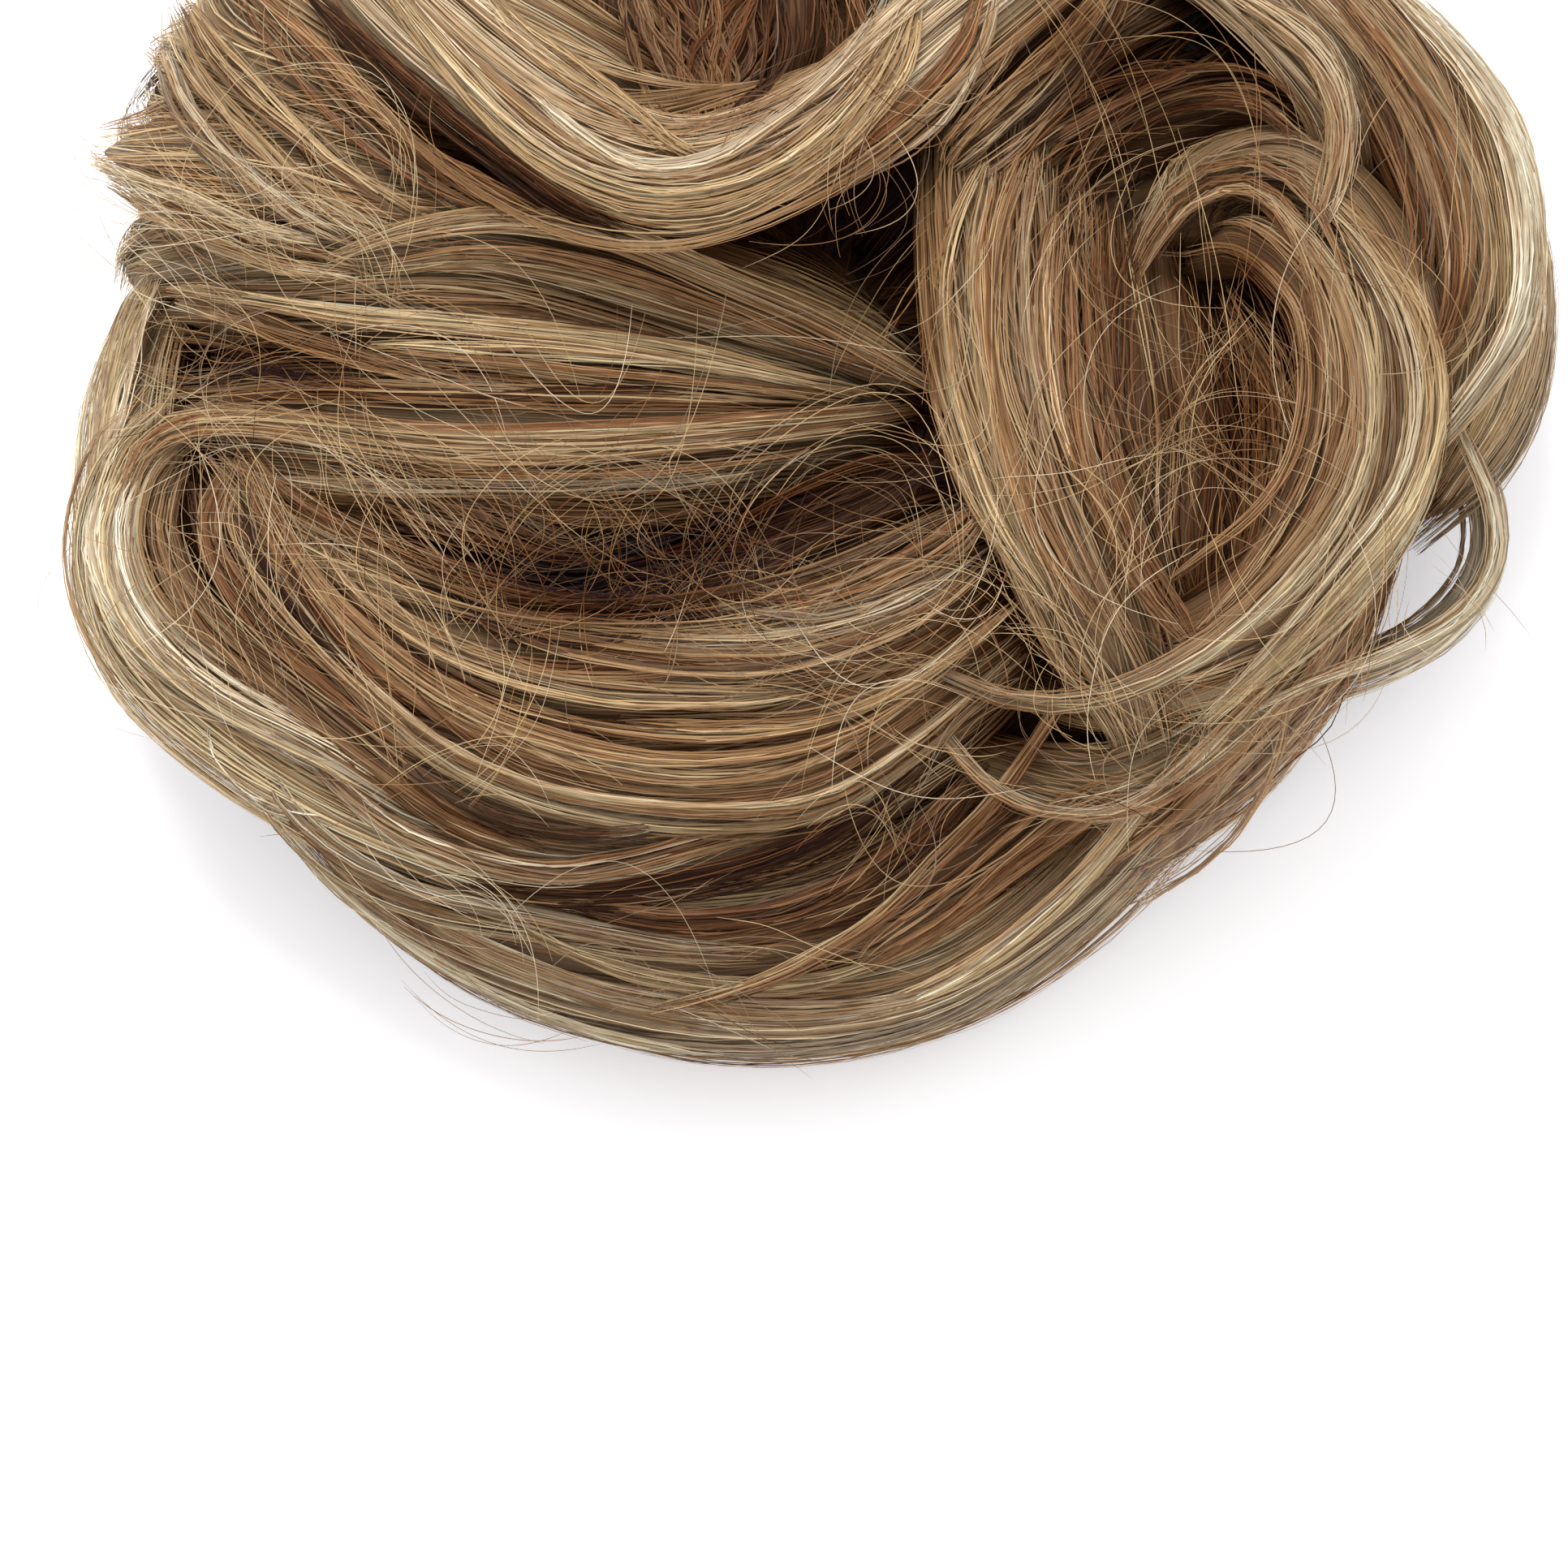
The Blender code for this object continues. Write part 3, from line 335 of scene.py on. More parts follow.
# Thin strands on top of the locks, by the solid that they lie on, where the picture shows them:
# half a strand's breadth and its stations are in the picture's pixels, and count is its hairs
Strand = namedtuple("Strand", "tone half_breadth count stations")
# Strands of the deep and shade tones are dark hair laid where the hair lies in shade: painted shade
STRANDS = {
    "crown_loop": (
        ("pale", 26, 120, ((480, -20), (560, 80), (650, 170), (730, 218), (810, 238), (890, 230),
         (970, 196), (1030, 146), (1075, 90), (1110, 20), (1125, -20))),
        ("light", 11, 60, ((640, 100), (710, 165), (790, 207), (880, 196), (960, 146), (1030, 86),
         (1080, 20), (1095, -20))),
        ("pale", 14, 60, ((590, -20), (640, 40), (710, 90), (780, 140), (830, 180), (880, 200))),
        ("streaked", 26, 80, ((1130, -20), (1110, 70), (1060, 140), (990, 200), (900, 250), (800, 262),
         (720, 240))),
        ("gold", 30, 70, ((1220, -20), (1190, 60), (1130, 130), (1060, 190), (1000, 240))),
        ("warm", 58, 150, ((790, -20), (815, 40), (845, 100), (872, 158))),
        ("shade", 56, 130, ((950, -20), (930, 40), (905, 95), (880, 150))),
        ("gold", 40, 50, ((860, -20), (862, 50), (868, 110), (874, 160))),
        ("gold", 44, 120, ((1170, 210), (1230, 150), (1290, 90), (1350, 20), (1380, -20))),
        ("warm", 30, 80, ((1230, 230), (1310, 160), (1400, 110), (1490, 92))),
    ),
    "upper_left_sweep": (
        ("deep", 13, 60, ((370, -20), (450, 60), (530, 130), (610, 195), (700, 258), (780, 290))),
        ("gold", 34, 90, ((300, -20), (380, 60), (470, 150), (570, 225), (680, 275))),
        ("streaked", 42, 110, ((215, 0), (260, 80), (340, 160), (430, 235), (530, 290))),
        ("ash", 22, 60, ((200, 60), (230, 130), (290, 200), (370, 265), (440, 300))),
        ("light", 12, 50, ((112, 196), (170, 215), (240, 240), (320, 275), (410, 300))),
        ("pale", 14, 50, ((130, 225), (190, 265), (260, 300), (350, 330), (450, 345))),
        ("warm", 16, 40, ((190, 250), (270, 285), (350, 310), (450, 335))),
    ),
    "left_bars": (
        ("pale", 17, 100, ((400, 318), (480, 288), (580, 268), (680, 272), (790, 300), (900, 346),
         (1000, 388), (1090, 436), (1160, 480))),
        ("gold", 26, 90, ((460, 330), (580, 315), (700, 330), (820, 362), (930, 400), (1040, 440),
         (1140, 480))),
        ("pale", 13, 90, ((205, 352), (300, 366), (420, 384), (560, 398), (700, 412), (830, 432),
         (950, 458), (1080, 484))),
        ("ash", 14, 50, ((215, 372), (300, 395), (390, 425), (490, 455), (600, 475))),
        ("gold", 20, 90, ((450, 430), (600, 440), (750, 452), (900, 470), (1060, 494))),
        ("deep", 9, 50, ((260, 440), (400, 474), (560, 494), (720, 484), (880, 484))),
        ("streaked", 26, 130, ((150, 610), (172, 555), (230, 520), (330, 518), (450, 536), (600, 548),
         (760, 544), (900, 532), (1040, 518), (1130, 505))),
        ("pale", 8, 50, ((330, 590), (460, 602), (600, 604), (740, 602), (860, 596), (960, 576))),
        ("warm", 16, 50, ((500, 575), (650, 572), (800, 568), (930, 556), (1060, 540))),
        ("shade", 34, 90, ((440, 625), (520, 650), (600, 668), (680, 690), (760, 700))),
    ),
    "left_curl": (
        ("light", 28, 130, ((200, 545), (162, 600), (150, 660), (168, 730), (220, 800), (300, 862),
         (390, 910), (470, 960), (540, 1010))),
        ("light", 22, 110, ((150, 560), (118, 620), (112, 680), (140, 750), (210, 826), (300, 885),
         (400, 945))),
        ("pale", 20, 90, ((190, 340), (162, 400), (140, 470), (128, 540), (118, 600))),
        ("streaked", 30, 110, ((230, 560), (205, 630), (220, 700), (270, 780), (350, 850), (450, 930),
         (560, 1010), (680, 1056))),
        ("gold", 24, 80, ((290, 570), (262, 640), (285, 710), (350, 790), (430, 860), (520, 930))),
        ("deep", 6, 30, ((236, 590), (252, 660), (300, 740), (370, 820))),
        ("deep", 5, 26, ((296, 600), (316, 670), (366, 750), (440, 830), (500, 880))),
        ("light", 4, 12, ((250, 880), (262, 930), (300, 972), (350, 1000), (420, 1010))),
    ),
    "front_sweeps": (
        ("deep", 36, 170, ((500, 690), (590, 736), (680, 762), (780, 748), (880, 700), (980, 652),
         (1080, 610), (1150, 560))),
        ("gold", 28, 100, ((300, 560), (340, 640), (390, 720), (470, 800), (570, 870), (690, 915),
         (830, 935), (960, 925), (1070, 890), (1170, 820))),
        ("deep", 7, 36, ((330, 620), (362, 690), (400, 760), (460, 830), (520, 880))),
        ("deep", 6, 30, ((420, 700), (480, 780), (560, 850), (660, 890), (760, 905))),
        ("pale", 15, 90, ((385, 640), (430, 710), (500, 770), (590, 815), (690, 846), (790, 860),
         (900, 862), (1000, 850))),
        ("pale", 10, 60, ((760, 888), (880, 893), (1000, 886), (1090, 856), (1180, 800), (1260, 735))),
        ("streaked", 26, 100, ((560, 740), (640, 772), (740, 792), (850, 806), (960, 806), (1060, 780),
         (1150, 735), (1230, 670))),
        ("gold", 26, 80, ((880, 730), (980, 740), (1080, 715), (1170, 665), (1220, 610))),
        ("ash", 16, 60, ((850, 742), (900, 758), (950, 768), (1020, 775), (1110, 750), (1200, 700))),
        ("pale", 18, 110, ((330, 690), (390, 780), (470, 868), (560, 936), (660, 980), (780, 1002),
         (900, 1008), (1010, 996), (1100, 945), (1180, 880), (1260, 800))),
        ("streaked", 20, 80, ((450, 760), (540, 860), (650, 930), (780, 962), (900, 966), (1010, 944),
         (1110, 880), (1200, 810))),
        ("deep", 7, 40, ((480, 930), (570, 990), (660, 1022), (750, 1030), (840, 1018))),
        ("ash", 20, 80, ((380, 930), (470, 1010), (570, 1055), (680, 1078), (780, 1066), (880, 1038),
         (970, 1020))),
    ),
    "front_rim": (
        ("deep", 18, 90, ((560, 1086), (680, 1102), (800, 1096), (920, 1070), (1020, 1034), (1100, 976),
         (1180, 900))),
        ("ash", 22, 90, ((300, 900), (350, 1000), (440, 1075), (550, 1120), (680, 1148), (820, 1170),
         (950, 1176))),
        ("shade", 24, 80, ((700, 1118), (830, 1136), (960, 1124), (1070, 1080), (1160, 1010),
         (1220, 940))),
        ("gold", 13, 70, ((800, 1246), (890, 1228), (980, 1196), (1080, 1140), (1160, 1064),
         (1230, 990), (1290, 900), (1340, 810))),
        ("warm", 26, 80, ((1060, 1190), (1160, 1130), (1250, 1060), (1330, 1000), (1400, 960))),
        ("pale", 14, 90, ((1060, 1256), (1180, 1206), (1280, 1136), (1360, 1060), (1420, 985),
         (1490, 925), (1580, 830))),
        ("ash", 20, 100, ((480, 1110), (600, 1176), (740, 1230), (880, 1254), (1010, 1256),
         (1130, 1236), (1220, 1200))),
        ("pale", 8, 40, ((600, 1120), (720, 1180), (860, 1212), (1000, 1210), (1100, 1180))),
        ("light", 5, 16, ((330, 1000), (400, 1080), (500, 1160), (610, 1222), (720, 1266), (830, 1292),
         (900, 1298))),
        ("ash", 5, 9, ((1590, 850), (1575, 940), (1520, 1030), (1450, 1090), (1370, 1130))),
    ),
    "right_curl": (
        ("pale", 34, 110, ((1215, 200), (1182, 300), (1178, 400), (1196, 520), (1236, 640),
         (1300, 750))),
        ("gold", 30, 100, ((1270, 190), (1244, 300), (1242, 420), (1262, 540), (1306, 660),
         (1372, 780))),
        ("gold", 14, 50, ((1300, 260), (1290, 380), (1300, 500), (1336, 620))),
        ("warm", 30, 90, ((1330, 300), (1340, 420), (1360, 560), (1410, 700), (1470, 790))),
        ("gold", 26, 90, ((1390, 350), (1450, 250), (1530, 215), (1600, 260), (1640, 360), (1652, 480),
         (1620, 600), (1550, 710), (1470, 790))),
        ("pale", 18, 100, ((1560, 240), (1640, 330), (1680, 440), (1680, 550), (1630, 660), (1540, 760),
         (1440, 830), (1340, 866), (1240, 862), (1160, 830), (1100, 800))),
        ("pale", 24, 100, ((1600, 205), (1690, 300), (1750, 410), (1762, 520), (1730, 620), (1660, 710),
         (1570, 810), (1480, 890))),
        ("shade", 26, 60, ((1300, 250), (1360, 160), (1450, 110), (1550, 110), (1620, 170))),
        ("ash", 7, 36, ((1120, 850), (1170, 920), (1230, 980), (1300, 1006), (1380, 1000), (1450, 955),
         (1520, 880))),
    ),
    "outer_right_curl": (
        ("pale", 20, 110, ((1490, -20), (1560, 20), (1620, 70), (1650, 140), (1645, 215), (1620, 290))),
        ("streaked", 30, 90, ((1640, -20), (1720, 80), (1785, 180), (1815, 290), (1800, 400),
         (1750, 480))),
        ("light", 26, 110, ((1710, -20), (1800, 70), (1862, 170), (1884, 280), (1872, 390), (1820, 480),
         (1750, 570))),
        ("shade", 18, 50, ((1680, 90), (1730, 180), (1755, 270), (1750, 350))),
    ),
    "side_loop": (
        ("pale", 12, 70, ((1790, 500), (1812, 550), (1842, 620), (1846, 690), (1804, 760), (1720, 806),
         (1620, 842), (1540, 880))),
    ),
}

# Painted shade and painted highlights: patches where the hair lies deep and gets little light,
# multiplied into the colours of the hairs there. Each gives where it is seen in the picture, half
# its width and height there, its turn in degrees and the share of the light that it takes away.
# The last ones, with less than nothing, are painted highlights where the hair shines or light
# comes through it.
ShadingPatch = namedtuple("ShadingPatch", "across down wide high turn strength")
SHADING_PATCHES = [ShadingPatch(*row) for row in (
    (735, 712, 202, 86, 0, 0.93), (930, 650, 200, 42, -22, 0.72), (1085, 290, 80, 125, 30, 0.7),
    (1140, 450, 22, 110, 8, 0.6), (340, 447, 130, 48, 8, 0.8), (1525, 540, 46, 105, 8, 0.68),
    (1440, 510, 32, 66, 8, 0.62), (1530, 325, 52, 42, 0, 0.55), (1345, 60, 90, 60, 15, 0.6),
    (1480, 150, 150, 70, 10, 0.4), (1705, 250, 42, 110, -20, 0.55), (1790, 385, 26, 60, 20, 0.6),
    (1235, 905, 70, 45, 20, 0.6), (1030, 1055, 210, 34, -14, 0.5), (1460, 985, 34, 34, 0, 0.55),
    (640, 1010, 150, 20, 15, 0.35), (880, 40, 160, 140, 0, 0.56), (620, 235, 150, 26, 32, 0.45),
    (560, 456, 260, 11, 5, 0.38), (720, 506, 300, 8, -2, 0.32), (650, 622, 240, 14, 0, 0.45),
    (900, 884, 200, 10, 0, 0.32), (620, 1020, 170, 13, 14, 0.42), (880, 1034, 200, 12, -9, 0.42),
    (1615, 470, 11, 150, 6, 0.32), (1225, 420, 9, 160, -3, 0.28), (125, 660, 60, 200, -4, -0.18),
    (1770, 700, 100, 130, 0, -0.45), (1870, 280, 28, 150, 0, -0.22), (640, 400, 330, 110, 10, -0.16),
    (620, 284, 130, 15, 0, -0.26), (420, 384, 190, 12, 3, -0.28), (640, 545, 300, 14, -1, -0.14),
    (800, 990, 230, 22, 3, -0.28), (960, 834, 170, 20, -5, -0.22), (1500, 800, 170, 20, -38, -0.3),
    (1285, 400, 30, 140, 3, -0.2), (1180, 1190, 150, 22, -28, -0.22),
)]

# Single hairs that lie loosely across each solid, within an oblong of the picture. Their heading
# is in degrees from the right, turned down, and spreads by fanning. Their lengths and places are in
# the picture's pixels.
Loose = namedtuple("Loose", "left top right bottom heading fanning length tone count")
LOOSE = {
    "front_sweeps": (
        (560, 600, 1200, 780, -48, 20, 200, "ash", 64),
        (560, 590, 1080, 740, 28, 16, 260, "ash", 70),
        (560, 640, 860, 790, -70, 40, 110, "ash", 46),
        (380, 680, 1200, 1050, 10, 30, 200, "pale", 60),
    ),
    "left_bars": (
        (300, 400, 1100, 600, 5, 12, 260, "pale", 24),
        (190, 400, 440, 500, 20, 40, 130, "ash", 46),
    ),
    "crown_loop": (
        (1010, 190, 1190, 470, -60, 22, 200, "ash", 30),
        (900, 20, 1240, 230, -50, 22, 150, "gold", 34),
    ),
    "right_curl": (
        (1330, 240, 1640, 760, 98, 24, 260, "pale", 84),
        (1330, 280, 1600, 720, 20, 50, 230, "pale", 30),
        (1190, 620, 1480, 860, 60, 34, 210, "pale", 34),
        (1160, 860, 1500, 1010, -10, 40, 150, "ash", 54),
    ),
    "left_curl": (
        (200, 540, 520, 820, 62, 16, 240, "pale", 120),
    ),
    "outer_right_curl": (
        (1200, 20, 1560, 220, 40, 30, 400, "pale", 17),
        (1680, 160, 1840, 440, 84, 20, 200, "pale", 26),
    ),
    "upper_left_sweep": (
        (140, 190, 480, 350, 28, 18, 160, "pale", 50),
        (220, 0, 600, 260, 45, 16, 200, "pale", 36),
        (100, 170, 240, 330, 25, 16, 150, "light", 34),
    ),
    "front_rim": (
        (800, 1030, 1160, 1110, -20, 25, 150, "ash", 20),
        (560, 1190, 1000, 1270, 14, 10, 190, "ash", 24),
        (320, 960, 620, 1170, 40, 7, 190, "light", 14),
        (1430, 900, 1540, 1030, 122, 8, 200, "ash", 14),
    ),
    "side_loop": (
        (1650, 560, 1850, 830, 90, 30, 150, "pale", 14),
    ),
}


class KnotSizes(bpy.types.PropertyGroup):
    """The driving sizes of the knot."""
    half_width: FloatProperty(
        name="Half width", description="Half of the knot's width", default=0.080, unit="LENGTH")
    half_depth: FloatProperty(
        name="Half depth", description="Half of the knot's depth", default=0.075, unit="LENGTH")
    height: FloatProperty(
        name="Height", description="The knot's height", default=0.072, unit="LENGTH")
    lock_half_breadth: FloatProperty(
        name="Lock half breadth", description="Half of a usual lock's breadth", default=0.0070,
        unit="LENGTH")
    lock_half_depth: FloatProperty(
        name="Lock half depth", description="Half of a usual lock's depth", default=0.0058,
        unit="LENGTH")


class HairLook(bpy.types.PropertyGroup):
    """How fine, dense and unruly the hair is, and its colours."""
    thin: FloatProperty(
        name="Thinnest", description="Width of the thinnest hairs in a lock", default=0.00010,
        unit="LENGTH", precision=5)
    thick: FloatProperty(
        name="Thickest", description="Width of the thickest hairs in a lock", default=0.00020,
        unit="LENGTH", precision=5)
    spacing: FloatProperty(
        name="Spacing", description="Mean distance from one hair to the next round a lock",
        default=0.000066, unit="LENGTH", precision=6)
    station_spacing: FloatProperty(
        name="Station spacing", description="Length of each straight stretch of a hair",
        default=0.0080, unit="LENGTH")
    frizz: FloatProperty(
        name="Frizz", description="How far a hair strays from its neighbours", default=0.00028,
        unit="LENGTH", precision=5)
    stray_share: FloatProperty(
        name="Stray share", description="The share of hairs that stray far from their lock",
        default=0.05, min=0, max=1)
    shade_depth: FloatProperty(
        name="Shade depth", description="How deep hair lies where it looks about a third as bright",
        default=0.0050, unit="LENGTH")
    darkest: FloatProperty(
        name="Darkest", description="The least brightness of the deepest hair", default=0.10,
        min=0, max=1)
    # the palest blonde: partly the hair's own colour, partly painted rim light and highlight where laid
    light: FloatVectorProperty(
        name="Light", description="Hair at the lightest rims", default=(0.61, 0.505, 0.355),
        subtype="COLOR", min=0, max=1)
    pale: FloatVectorProperty(
        name="Pale", description="Pale blonde hair", default=(0.478, 0.340, 0.180), subtype="COLOR",
        min=0, max=1)
    gold: FloatVectorProperty(
        name="Gold", description="Golden brown hair", default=(0.30, 0.165, 0.076), subtype="COLOR",
        min=0, max=1)
    red: FloatVectorProperty(
        name="Red", description="Reddish brown hair", default=(0.22, 0.095, 0.040), subtype="COLOR",
        min=0, max=1)
    ash: FloatVectorProperty(
        name="Ash", description="Ash brown hair", default=(0.25, 0.183, 0.120), subtype="COLOR",
        min=0, max=1)
    dark: FloatVectorProperty(
        name="Dark", description="Dark brown hair", default=(0.042, 0.016, 0.006), subtype="COLOR",
        min=0, max=1)


class StageLook(bpy.types.PropertyGroup):
    """The stage: where the camera stands and what it sees."""
    elevation: FloatProperty(
        name="Camera elevation", description="How steeply the camera looks down",
        default=math.radians(68), subtype="ANGLE")
    distance: FloatProperty(
        name="Camera distance", description="From the camera to the knot", default=0.90,
        unit="LENGTH")
    view_width: FloatProperty(
        name="View width", description="How much the view takes in across the knot",
        default=0.1745, unit="LENGTH")
    aim: FloatVectorProperty(
        name="Aim", description="Where the camera aims, from the knot's axis",
        default=(-0.0030, -0.0348, 0.0), subtype="TRANSLATION")


def sizes():
    """The knot's driving sizes."""
    return bpy.context.scene.top_knot_sizes


def look():
    """The settings of the hair."""
    return bpy.context.scene.top_knot_hair


def placed(across, away, rise):
    """A place given as shares of the knot's sizes, in the part's frame."""
    knot = sizes()
    return AXIS + np.array((across * knot.half_width, away * knot.half_depth, rise * knot.height))


def unit_rows(rows):
    """The rows, each scaled to a length of 1."""
    return rows / np.maximum(np.linalg.norm(rows, axis=-1, keepdims=True), 1e-9)


def across_lengths(rows, tangents):
    """The part of each row that is square to the run there."""
    return rows - tangents * np.sum(rows * tangents, axis=-1, keepdims=True)


def smooth_path(points, spacing):
    """Places along the smooth curve through the points, closer together where it bends."""
    padded = np.vstack((2 * points[0] - points[1], points, 2 * points[-1] - points[-2]))
    fine = []
    for before, start, end, after in zip(padded, padded[1:], padded[2:], padded[3:]):
        for t in np.linspace(0, 1, 12, endpoint=False):
            fine.append(0.5 * (2 * start + (end - before) * t
                               + (2 * before - 5 * start + 4 * end - after) * t ** 2
                               + (3 * start - before - 3 * end + after) * t ** 3))
    fine = np.array(fine + [points[-1]])
    steps = np.diff(fine, axis=0)
    headings = unit_rows(steps)
    bends = np.linalg.norm(np.diff(headings, axis=0, prepend=headings[:1]), axis=1)
    effort = np.linalg.norm(steps, axis=1) / spacing + bends / BEND_STEP
    run = np.concatenate(([0], np.cumsum(effort)))
    even = np.linspace(0, run[-1], max(6, math.ceil(run[-1]) + 1))
    return np.column_stack([np.interp(even, run, fine[:, axis]) for axis in range(3)])


def ease(t):
    """A smooth step from 0 to 1 as t goes from 0 to 1."""
    t = np.clip(t, 0, 1)
    return t * t * (3 - 2 * t)


class Lay:
    """How a lock runs: its path, its three directions and its half breadth and depth along it."""

    def __init__(self, lock, spacing):
        stations = np.array([placed(*share) for share in np.array(lock.stations) / 100])
        self.path = smooth_path(stations, spacing)
        self.run = np.concatenate(
            ([0], np.cumsum(np.linalg.norm(np.diff(self.path, axis=0), axis=1))))
        self.along = unit_rows(np.gradient(self.path, self.run, axis=0))
        bends = np.linalg.norm(np.gradient(self.along, self.run, axis=0), axis=1)
        outward = across_lengths(self.path - placed(0, 0, HEART_RISE), self.along)
        for _ in range(6):
            outward[1:-1] = (outward[:-2] + 2 * outward[1:-1] + outward[2:]) / 4
        self.outward = unit_rows(across_lengths(outward, self.along))
        self.sideways = np.cross(self.along, self.outward)
        share = self.run / self.run[-1]
        swell = np.minimum(lock.root + (1 - lock.root) * ease(share / TAPER_LENGTH),
                           lock.tip + (1 - lock.tip) * ease((1 - share) / TAPER_LENGTH))
        widest = TIGHTEST / np.maximum(bends, TIGHTEST / sizes().half_width)
        self.half_breadth = np.minimum(lock.breadth * sizes().lock_half_breadth * swell, widest)
        self.half_depth = np.minimum(lock.depth * sizes().lock_half_depth * np.sqrt(swell), widest)


def wander(rng, count, stations, waves):
    """Smooth random wander along a hair, between about -1 and 1. A row per hair."""
    share = np.linspace(0, 1, stations)[None, :]
    total = np.zeros((count, stations))
    for wave in waves:
        pace = wave * rng.uniform(0.6, 1.4, (count, 1))
        phase = rng.uniform(0, 2 * math.pi, (count, 1))
        total += np.sin(2 * math.pi * pace * share + phase) * rng.uniform(0.4, 1.0, (count, 1))
    return total / math.sqrt(len(waves))


def tone_mix(tone):
    """The hair colours, and how much of each a tone holds."""
    hair = look()
    palette = np.array([hair.light, hair.pale, hair.gold, hair.red, hair.ash, hair.dark])
    return palette, np.array(TONES[tone])


def tone_colours(rng, tone, count):
    """A hair colour for each of count clumps, drawn from a tone's mix."""
    palette, mix = tone_mix(tone)
    drawn = palette[rng.choice(len(mix), size=count, p=mix / mix.sum())]
    return drawn * rng.uniform(0.82, 1.15, (count, 1))


def banded_colours(rng, tone, turns):
    """A hair colour for each clump. Clumps that lie side by side mostly share the colour of a band."""
    bands = max(4, len(turns) // 5)
    edges = np.sort(rng.uniform(turns.min(), turns.max(), bands - 1))
    band_colours = tone_colours(rng, tone, bands)[np.searchsorted(edges, turns)]
    own_colours = tone_colours(rng, tone, len(turns))
    shared = rng.uniform(0.35, 1.0, (len(turns), 1))
    return band_colours * shared + own_colours * (1 - shared)


def hair_colours(rng, tone, turns, clump, proud):
    """A colour for each hair: its clump's mixed with one of its own. A third of the hairs are darker
    and redder, partly their own colour and partly painted shade, and clumps that lie low in the
    lock get painted shade."""
    count = len(clump)
    own = rng.uniform(0.0, 0.8, (count, 1))
    shared = banded_colours(rng, tone, turns)[clump]
    colours = shared * (1 - own) + tone_colours(rng, tone, count) * own
    dark = rng.uniform(0, 1, (count, 1)) < DARK_SHARE
    grain = np.where(dark, rng.uniform(0.40, 0.75, (count, 1)), rng.uniform(0.88, 1.25, (count, 1)))
    # painted shade: darker hairs take the tint of shade, and clumps that lie lower are darker
    return colours * grain ** SHADE_TINT * (0.80 + 0.30 * proud)[clump][:, None]


def ribbon_mesh(name, places, facing, widths, colours):
    """One mesh of all the hairs, each a narrow ribbon that is painted with its own colour.

    places and facing are (hair, station, 3), widths (hair, station) and colours (hair, station, 3).
    """
    hairs, stations = widths.shape
    along = unit_rows(np.gradient(places, axis=1))
    side = unit_rows(np.cross(along, facing)) * widths[..., None] / 2
    corners = np.stack((places - side, places + side), axis=2)
    corners[..., 2] = np.maximum(corners[..., 2], FLOOR_GAP)
    index = np.arange(hairs * stations * 2).reshape(hairs, stations, 2)
    quads = np.stack((index[:, :-1, 0], index[:, :-1, 1], index[:, 1:, 1], index[:, 1:, 0]), axis=-1)
    quads = quads.reshape(-1, 4)
    mesh = bpy.data.meshes.new(name)
    mesh.vertices.add(hairs * stations * 2)
    mesh.vertices.foreach_set("co", corners.reshape(-1).astype(np.float32))
    mesh.loops.add(quads.size)
    mesh.loops.foreach_set("vertex_index", quads.reshape(-1).astype(np.int32))
    mesh.polygons.add(len(quads))
    mesh.polygons.foreach_set("loop_start", np.arange(0, quads.size, 4, dtype=np.int32))
    mesh.polygons.foreach_set("use_smooth", np.ones(len(quads), dtype=bool))
    u = (np.arange(hairs)[:, None, None] + np.array((0.05, 0.95))) / hairs
    v = np.linspace(0.005, 0.995, stations)[None, :, None]
    strips = np.stack(np.broadcast_arrays(u, v), axis=-1).reshape(-1, 2)
    flat = mesh.uv_layers.new(name="OFBake")
    flat.data.foreach_set("uv", strips[quads.reshape(-1)].reshape(-1).astype(np.float32))
    paint_points(mesh, np.repeat(colours[:, :, None, :], 2, axis=2).reshape(-1, 3))
    mesh.update(calc_edges=True)
    return mesh


def paint_points(mesh, colours):
    """Stores a colour for each corner of the mesh, for the materials to read."""
    paint = mesh.color_attributes.new(name="hair_colour", type="FLOAT_COLOR", domain="POINT")
    colours = np.column_stack((np.clip(colours, 0.004, 0.95), np.ones(len(colours))))
    paint.data.foreach_set("color", colours.reshape(-1).astype(np.float32))


def hair_piece(name, mesh, node, stands_in=True):
    """Puts a mesh in the scene as a piece that rides on the knot and lies on a solid of it.

    A piece that stands in for its solid replaces it. Loose hairs only lie on theirs.
    """
    obj = bpy.data.objects.new(name, mesh)
    bpy.context.scene.collection.objects.link(obj)
    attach(obj, "root")
    if stands_in:
        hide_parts(node)


def seed_of(name):
    """The same seed each run for the same name."""
    return sum((i + 1) * ord(letter) for i, letter in enumerate(name))


def tangle(rng, count, stations):
    """How far each hair strays from its clump, along the hair. A few hairs stray much further."""
    stray = rng.uniform(0, 1, (count, 1)) < look().stray_share
    near = look().frizz * wander(rng, count, stations, (1.1, 2.3, 4.1))
    far = look().frizz * rng.uniform(1.5, 5.0, (count, 1)) * wander(rng, count, stations, (0.3, 0.8))
    return np.where(stray, far, near)


def trimmed(rng, values, start, end):
    """Gives each hair its own start and end along its lock, within the shares start and end."""
    count, stations = values.shape[:2]
    first = start + 0.16 * rng.uniform(0.0, 1.0, count) ** 1.5
    last = end - 0.20 * rng.uniform(0.0, 1.0, count) ** 1.5
    own = first[:, None] + (last - first)[:, None] * np.linspace(0, 1, stations)[None]
    low = np.clip((own * (stations - 1)).astype(int), 0, stations - 2)
    part = (own * (stations - 1) - low)[..., None]
    row = np.arange(count)[:, None]
    return values[row, low] * (1 - part) + values[row, low + 1] * part


